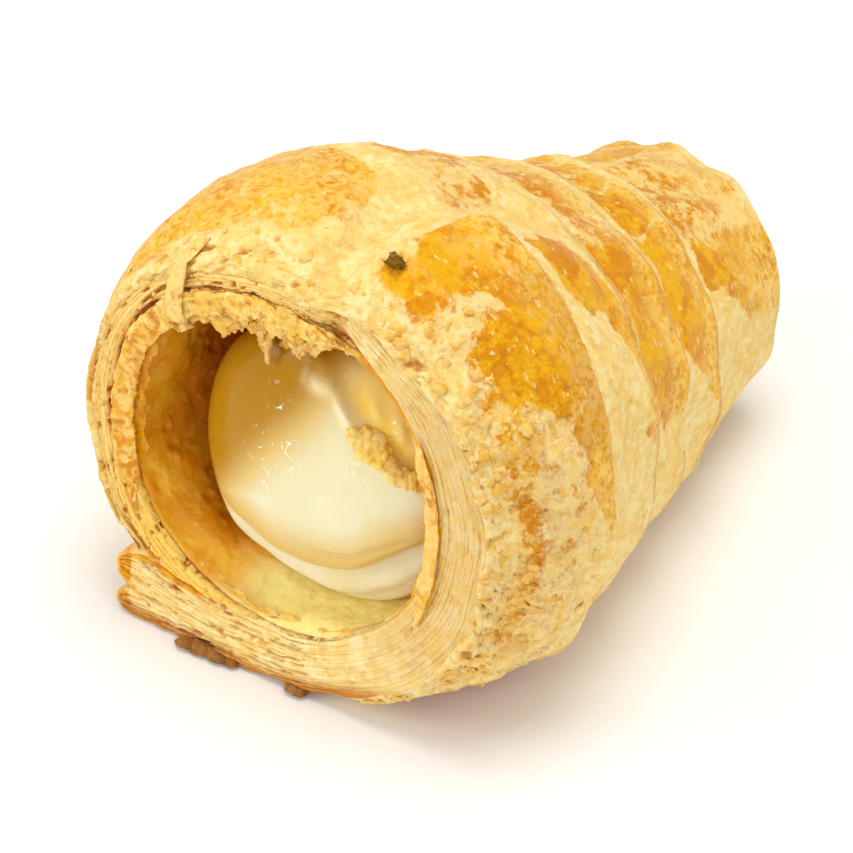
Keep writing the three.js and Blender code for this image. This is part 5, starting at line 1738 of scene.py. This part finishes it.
# %% The torn strip
# distance from the mouth, height over the crust and mm out of the mouth, along the strip
STRIP_PATH = [(3.5, 0.2, 0.0), (0.4, 0.5, 0.3), (0.0, -1.4, 1.2), (0.0, -3.0, 1.5), (0.0, -4.8, 1.3),
              (0.0, -6.6, 0.4)]
STRIP_ANGLES = (117, 131)
STRIP_WIDTH, STRIP_THICK = 2.5, 0.6
TORN_FILM = dough_material("torn film", 0.3, 0.0, (253, 226, 146), (247, 208, 112),
                           relief=0.5, scales=0.2, flecks=0.3, gloss=0.2)
strip_row, (strip_s, strip_lift, strip_out) = along_path(STRIP_PATH, 70)
strip_angle = np.interp(strip_row, [0, len(STRIP_PATH) - 1], STRIP_ANGLES)
strip_radius = outer_radius(strip_s) + strip_height(strip_angle, strip_s, 0.0) + strip_lift
strip_centre = horn_point(strip_s, strip_angle, strip_radius, strip_out)
strip_across = horn_point(strip_s, strip_angle - 2, strip_radius, strip_out) - strip_centre
strip_share = np.clip(strip_row / (len(STRIP_PATH) - 1), 0.01, 0.99)
strip_fade = np.sqrt(np.clip(np.sin(strip_share * math.pi), 0, 1))
torn_strip = ribbon_mesh("torn_strip", strip_centre, strip_across, STRIP_WIDTH * (0.55 + 0.45 * strip_fade),
                         STRIP_THICK * strip_fade, 5)
place_piece("torn_strip", torn_strip, TORN_FILM)

# %% The scrap of dough on the cream
STUCK_SCRAP = dough_material("stuck scrap", 0.08, 0.0, (255, 228, 140), (255, 210, 96), (252, 194, 70),
                             relief=0.3, scales=0.0, flecks=0.8, gloss=0.4)
# x and height on the face of the cream, width and thickness, along the scrap
SCRAP_PATH = [(6.6, 12.0, 0.5, 0.4), (7.8, 11.2, 2.6, 0.9), (9.2, 10.6, 3.4, 1.1), (10.6, 9.6, 2.6, 1.0),
              (12.0, 8.6, 2.1, 0.9), (13.6, 7.5, 1.8, 0.8), (15.2, 6.7, 1.7, 0.8), (16.8, 6.1, 1.6, 0.7),
              (18.2, 5.6, 0.8, 0.5)]
# lift over the cream, width as a share, seed: three torn ribbons lie on each other
SCRAP_LAYERS = [(0.25, 1.0, 61.0), (0.75, 0.7, 67.0), (0.5, 0.85, 73.0)]


def scrap_mesh(lift, wider, seed):
    """A torn ribbon of dough that lies on the cream along the path."""
    row, (x, z, width, thick) = along_path(SCRAP_PATH, 150)
    z = z + 0.6 * np.array([noise.noise(Vector((r * 0.9, seed, 0))) for r in row])
    centre = cream_points(x, z, lift)[0]
    side = np.stack([-np.gradient(z), np.gradient(x)])
    side = side / np.hypot(*side) * 0.4
    across = cream_points(x + side[0], z + side[1], lift)[0] - centre
    torn = 1 + np.array([0.75 * noise.fractal(Vector((r * 1.5, seed, 1)), 0.6, 2.1, 2) for r in row])
    return ribbon_mesh("scrap", centre, across, np.maximum(width * wider * torn, 0.3), thick, seed)


scrap = joined("stuck_scrap", [scrap_mesh(*layer) for layer in SCRAP_LAYERS])
write_values(scrap, {"flaky": np.ones((len(scrap.vertices), 1))})
scrap = bake_relief(scrap, STUCK_SCRAP, Bubble_Height=0.2, Bubble_Size=1.6, Scale_Step=0.9, Scale_Size=2.0,
                    Pit_Depth=0.4, Pit_Size=1.6, Grain_Height=0.15, Shift=61)
place_piece("stuck_scrap", scrap, STUCK_SCRAP)


# %% Lumps
LUMP_ROWS, LUMP_COLUMNS = 14, 28


def lump_mesh(name, centre, size, seed, rough):
    """A lump about a centre, size in mm along x, y and z."""
    turn = np.linspace(0, 2 * math.pi, LUMP_COLUMNS, endpoint=False)
    rings = []
    for tilt in np.linspace(0.12, math.pi - 0.12, LUMP_ROWS):
        level = np.full_like(turn, np.cos(tilt))
        ring = np.stack([np.sin(tilt) * np.cos(turn), np.sin(tilt) * np.sin(turn), level], -1)
        grow = [1 + rough * noise.fractal(Vector(p) * 1.7 + Vector((seed, 0, 0)), 0.6, 2.1, 3) for p in ring]
        rings.append(np.asarray(centre) + ring * np.array(grow)[:, None] * np.asarray(size) / 2)
    return skin_mesh(name, rings, ends="points")


print("lumps have", LUMP_ROWS, "rings of", LUMP_COLUMNS, "points")

# %% The scorched crumb and the drips
SCORCHED = dough_material("scorched crumb", 0.0, 0.0, (150, 110, 30), (120, 82, 14), (92, 58, 8),
                          relief=1.0, scales=0.3, flecks=0.2, gloss=0.1)
CRUMB_S, CRUMB_ANGLE = 6.0, 71.5
# place from the middle of the crumb, size and seed of each part
CRUMB_PARTS = [((0, 0, 0), (2.0, 1.7, 1.2), 4), ((0.7, -0.4, 0.4), (1.2, 1.0, 0.9), 9),
               ((-0.6, 0.4, 0.3), (1.0, 1.2, 1.0), 14)]
crumb_radius = outer_radius(CRUMB_S) + strip_height(CRUMB_ANGLE, CRUMB_S, 0.15) + 0.35
crumb_at = horn_point(CRUMB_S, CRUMB_ANGLE, crumb_radius)
crumb_lumps = [lump_mesh("part", crumb_at + np.array(shift), size, seed, 0.8)
               for shift, size, seed in CRUMB_PARTS]
place_piece("scorched_crumb", joined("scorched_crumb", crumb_lumps), SCORCHED)

BAKED_EGG = dough_material("baked egg", 0.0, 0.2, (170, 120, 64), (148, 98, 46), (122, 76, 32),
                           relief=0.8, scales=0.0, flecks=0.3, gloss=0.35)
# x, y and size of each drip
DRIPS = [(-15.0, -47.9, (3.4, 2.6, 1.4)), (-12.8, -47.5, (4.0, 2.8, 1.7)), (-10.4, -47.4, (3.6, 2.4, 1.3)),
         (-8.0, -47.0, (2.8, 2.0, 1.0)), (2.2, -45.7, (3.6, 2.2, 1.5))]
drip_lumps = [lump_mesh("part", (x, y, size[2] * 0.3), size, 20 + i * 3, 0.3)
              for i, (x, y, size) in enumerate(DRIPS)]
place_piece("base_drips", joined("base_drips", drip_lumps), BAKED_EGG)

# %% [markdown]
# ## Flakes and crumbs
# Puff pastry sheds flakes wherever it was cut or torn: thickly beside the mouth on the right, on the ledges
# and round the cut, and a few anywhere. Geometry Nodes scatter them: the density follows a number kept on the
# surface, each flake lies close to the surface with a little tilt, and all of them share four shapes of 36
# faces. A particle system could do it too, but the tree ends in real faces that can be kept as a plain mesh.

# %% Flake shapes
# label, seed, thickness
FLAKE_KINDS = [("First", 811, 0.20), ("Second", 822, 0.30), ("Third", 833, 0.16), ("Fourth", 844, 0.38)]
FLAKE_SIDES = 9


def flake_object(seed, thin):
    """A bent chip of film, about 2 units across."""
    draw = random_source(seed)
    turn = np.linspace(0, 2 * math.pi, FLAKE_SIDES, endpoint=False)
    reach = np.array([0.55 + 0.6 * next(draw) for _ in turn])
    bend = 0.35 * (next(draw) - 0.5)
    rings = []
    for level, grow in ((-0.5, 0.85), (-0.1, 1.0), (0.5, 0.62)):
        x, y = grow * reach * np.cos(turn), grow * reach * np.sin(turn) * 0.7
        z = thin * level + bend * (x * x - 0.4) + 0.1 * np.sin(3 * turn + seed)
        rings.append(np.stack([x, y, z], -1))
    return add_object(f"flake_shape_{seed}", skin_mesh("flake", rings, ends="points"))


FLAKES = {label: flake_object(seed, thin) for label, seed, thin in FLAKE_KINDS}
print("faces of a flake:", [len(flake.data.polygons) for flake in FLAKES.values()])

# %% The scatter tree
SCATTER_SIZES = {"Flakes per mm2": 0.3, "Smallest": 0.4, "Largest": 1.2, "Tilt": 0.4, "Seed": 1.0}


def scatter_tree():
    """Flakes over a surface, by the number 'scatter' that it keeps."""
    sockets = {"Surface": "NodeSocketGeometry", **{label: "NodeSocketObject" for label in FLAKES},
               "Material": "NodeSocketMaterial", **SCATTER_SIZES}
    tree, given, exit_node = new_tree("scattered flakes", "GeometryNodeTree", sockets,
                                      {"Flakes": "NodeSocketGeometry"})
    tree.is_modifier = True
    share = wire(add_node(tree, "GeometryNodeInputNamedAttribute", {"data_type": "FLOAT"}, Name="scatter"),
                 "Attribute")
    points = add_node(tree, "GeometryNodeDistributePointsOnFaces", Mesh=given["Surface"],
                      Density=share * given["Flakes per mm2"] / MM / MM, Seed=given["Seed"])
    shapes = tree.nodes.new("GeometryNodeJoinGeometry")
    for label in reversed(FLAKES):
        shape = add_node(tree, "GeometryNodeObjectInfo", Object=given[label], As_Instance=True)
        tree.links.new(wire(shape, "Geometry").socket, shapes.inputs[0])
    tilt = given["Tilt"]
    spin = add_node(tree, "FunctionNodeRandomValue", {"data_type": "FLOAT_VECTOR"}, Seed=given["Seed"],
                    Min=vector_wire(tilt * -1.0, tilt * -1.0, 0.0),
                    Max=vector_wire(tilt, tilt, 2 * math.pi))
    spun = add_node(tree, "FunctionNodeEulerToRotation", in_0=wire(spin, "Value"))
    turned = add_node(tree, "FunctionNodeRotateRotation", {"rotation_space": "LOCAL"},
                      Rotation=wire(points, "Rotation"), Rotate_By=wire(spun))
    size = add_node(tree, "FunctionNodeRandomValue", {"data_type": "FLOAT"}, Seed=given["Seed"] + 7.0,
                    Min=given["Smallest"], Max=given["Largest"])
    flakes = add_node(tree, "GeometryNodeInstanceOnPoints", Points=wire(points, "Points"),
                      Instance=wire(shapes), Pick_Instance=True, Rotation=wire(turned),
                      Scale=wire(size, "Value"))
    real = add_node(tree, "GeometryNodeRealizeInstances", Geometry=wire(flakes))
    dressed = add_node(tree, "GeometryNodeSetMaterial", Geometry=wire(real), Material=given["Material"])
    feed(exit_node.inputs["Flakes"], wire(dressed))
    return tree


SCATTER = scatter_tree()
print("scatter tree:", len(SCATTER.nodes), "nodes")

# %% How thickly flakes lie
FLAKE_DOUGH = dough_material("flakes", 0.22, 0.0, (245, 208, 118), (237, 186, 80), (226, 162, 56),
                             relief=0.4, scales=0.3, flecks=0.6, gloss=0.25, glow=0.0)


def crust_share(mesh):
    """How thickly flakes lie on a turn."""
    angle, along = numbers(mesh, "angle"), numbers(mesh, "skin", 3)[:, 1]
    beside_mouth = (1 - ramp(2, 13, along)) * (1 - ramp(48, 72, np.abs(between(angle, 8))))
    above_mouth = 0.35 * (1 - ramp(2.5, 6, along)) * (1 - ramp(50, 70, np.abs(between(angle, 110))))
    right_side = 0.25 * (1 - ramp(16, 24, along)) * (1 - ramp(30, 55, np.abs(between(angle, -20))))
    bare = 1 - 0.9 * ramp(0.45, 0.75, numbers(mesh, "glaze"))
    thick = np.maximum.reduce([beside_mouth, above_mouth, right_side]) * bare
    return (thick + 0.01) * numbers(mesh, "outside")


def scattered(name, surface, share, **sizes):
    """A piece of flakes on another piece; share is how thickly they lie at each of its points."""
    mesh = bpy.data.objects[surface].data.copy()
    write_values(mesh, {"scatter": np.broadcast_to(share, len(mesh.vertices)).reshape(-1, 1)})
    given = {key.replace("_", " "): size for key, size in sizes.items()}
    flakes = run_tree(mesh, SCATTER, {**FLAKES, "Material": FLAKE_DOUGH, **given})
    bpy.data.meshes.remove(mesh)
    place_piece(name, flakes, FLAKE_DOUGH)


crust_shares = crust_share(bpy.data.objects["last_turn"].data)
print("the last turn is flaky on", round(float((crust_shares > 0.3).mean()) * 100), "% of its points")

# %% Flakes on the crust and crumbs in the mouth
scattered("crust_flakes", "last_turn", crust_shares, Flakes_per_mm2=0.2, Largest=1.6, Tilt=0.16, Seed=3.0)
scattered("crust_crumbs", "last_turn", crust_shares, Smallest=0.15, Largest=0.45, Seed=8.0)
scattered("mouth_crumbs", "cut_edge", 1.0, Flakes_per_mm2=0.28, Smallest=0.15, Largest=0.5, Tilt=1.2,
          Seed=14.0)
for name in (ledge[0] for ledge in LEDGES if ledge[0] not in SMOOTH_LEDGES):
    scattered(name + "_crumbs", name, 1.0, Smallest=0.25, Largest=0.95, Tilt=0.7, Seed=20.0)
for flake in FLAKES.values():
    bpy.data.objects.remove(flake)

# %% [markdown]
# ## Camera, light and floor
# A baker's tray of horns is looked at from above and in front, so the camera stands there with a long lens.
# Most light comes from one broad source overhead, with weaker ones in front and behind, and three small lamps
# put points of light on the wet cream and the glaze. A pale floor fills the shadows as a white table would.

# %% Camera
CAMERA_AT = Vector((0.1927, -0.2573, 0.2653))
LOOKS_AT = Vector((-0.01385, 0.00182, 0.00726))
camera_data = bpy.data.cameras.new("camera")
camera_data.lens = 124.8
camera_data.sensor_width = 36.0
camera = add_object("camera", camera_data)
camera.location = CAMERA_AT
camera.rotation_euler = (LOOKS_AT - CAMERA_AT).to_track_quat("-Z", "Y").to_euler()
bpy.context.scene.camera = camera
bpy.context.scene.view_settings.view_transform = "Standard"
print("camera:", round((LOOKS_AT - CAMERA_AT).length / MM), "mm away")

# %% Light
WARM_WHITE, WHITE = (1.0, 0.985, 0.96), (1.0, 1.0, 1.0)
LIGHTS_FACE = (0, 0, 0.03)
# name, place, width, power, colour
LIGHTS = [
    ("overhead", (0.04, 0.02, 0.74), 0.42, 2.6, WARM_WHITE),
    ("front_right", (0.60, -0.40, 0.42), 0.32, 0.45, WARM_WHITE),
    ("front_left", (-0.48, -0.50, 0.30), 0.30, 1.15, WARM_WHITE),
    ("left_glint", (-0.30, -0.62, 0.16), 0.04, 0.22, WHITE),
    ("middle_glint", (-0.08, -0.72, 0.34), 0.04, 0.22, WHITE),
    ("right_glint", (0.20, -0.68, 0.36), 0.04, 0.22, WHITE),
    ("back_right", (0.45, 0.45, 0.25), 0.20, 0.3, WHITE),
]
ROOM_COLOUR, ROOM_LIGHT = (1.0, 0.99, 0.97), 0.57


def soft_light(name, place, width, power, colour):
    """A round lamp that faces the horn; more width makes softer shadows."""
    data = bpy.data.lights.new(name, "AREA")
    data.shape = "DISK"
    data.size = width
    data.energy = power
    data.color = colour
    light = add_object(name, data)
    light.location = place
    light.rotation_euler = (Vector(LIGHTS_FACE) - Vector(place)).to_track_quat("-Z", "Y").to_euler()


for light in LIGHTS:
    soft_light(*light)
world = bpy.data.worlds.new("pale room")
bpy.context.scene.world = world
world.use_nodes = True
world.node_tree.nodes["Background"].inputs["Color"].default_value = (*ROOM_COLOUR, 1)
world.node_tree.nodes["Background"].inputs["Strength"].default_value = ROOM_LIGHT
print(len(LIGHTS), "lamps,", round(sum(light[3] for light in LIGHTS), 2), "W")

# %% Floor
FLOOR_HALF = 1.5
FLOOR_DROP = 0.0002  # keeps the floor clear of the faces that rest on it


def floor_sheet():
    """A pale table, much larger than the horn."""
    corners = [(x * FLOOR_HALF, y * FLOOR_HALF, 0) for x, y in ((-1, -1), (1, -1), (1, 1), (-1, 1))]
    mesh = bpy.data.meshes.new("floor")
    mesh.from_pydata(corners, [], [(0, 1, 2, 3)])
    material, tree, shader = start_material("white table", 0.9)
    tint = slope(noise_wire(own_place(tree), 0.02, 2), 0.3, 0.7)
    feed(shader.inputs["Base Color"], blend(tint, seen(253, 253, 253), seen(250, 250, 250)))
    mesh.materials.append(material)
    floor = add_object("floor", mesh)
    floor.location.z = -FLOOR_DROP
    return floor


floor = floor_sheet()
print("floor:", 2 * FLOOR_HALF, "m wide")

# %% [markdown]
# ## Triangles in all
# The last cell counts the triangles of all the pieces.

print("triangles in all:", sum(triangles_of.values()))
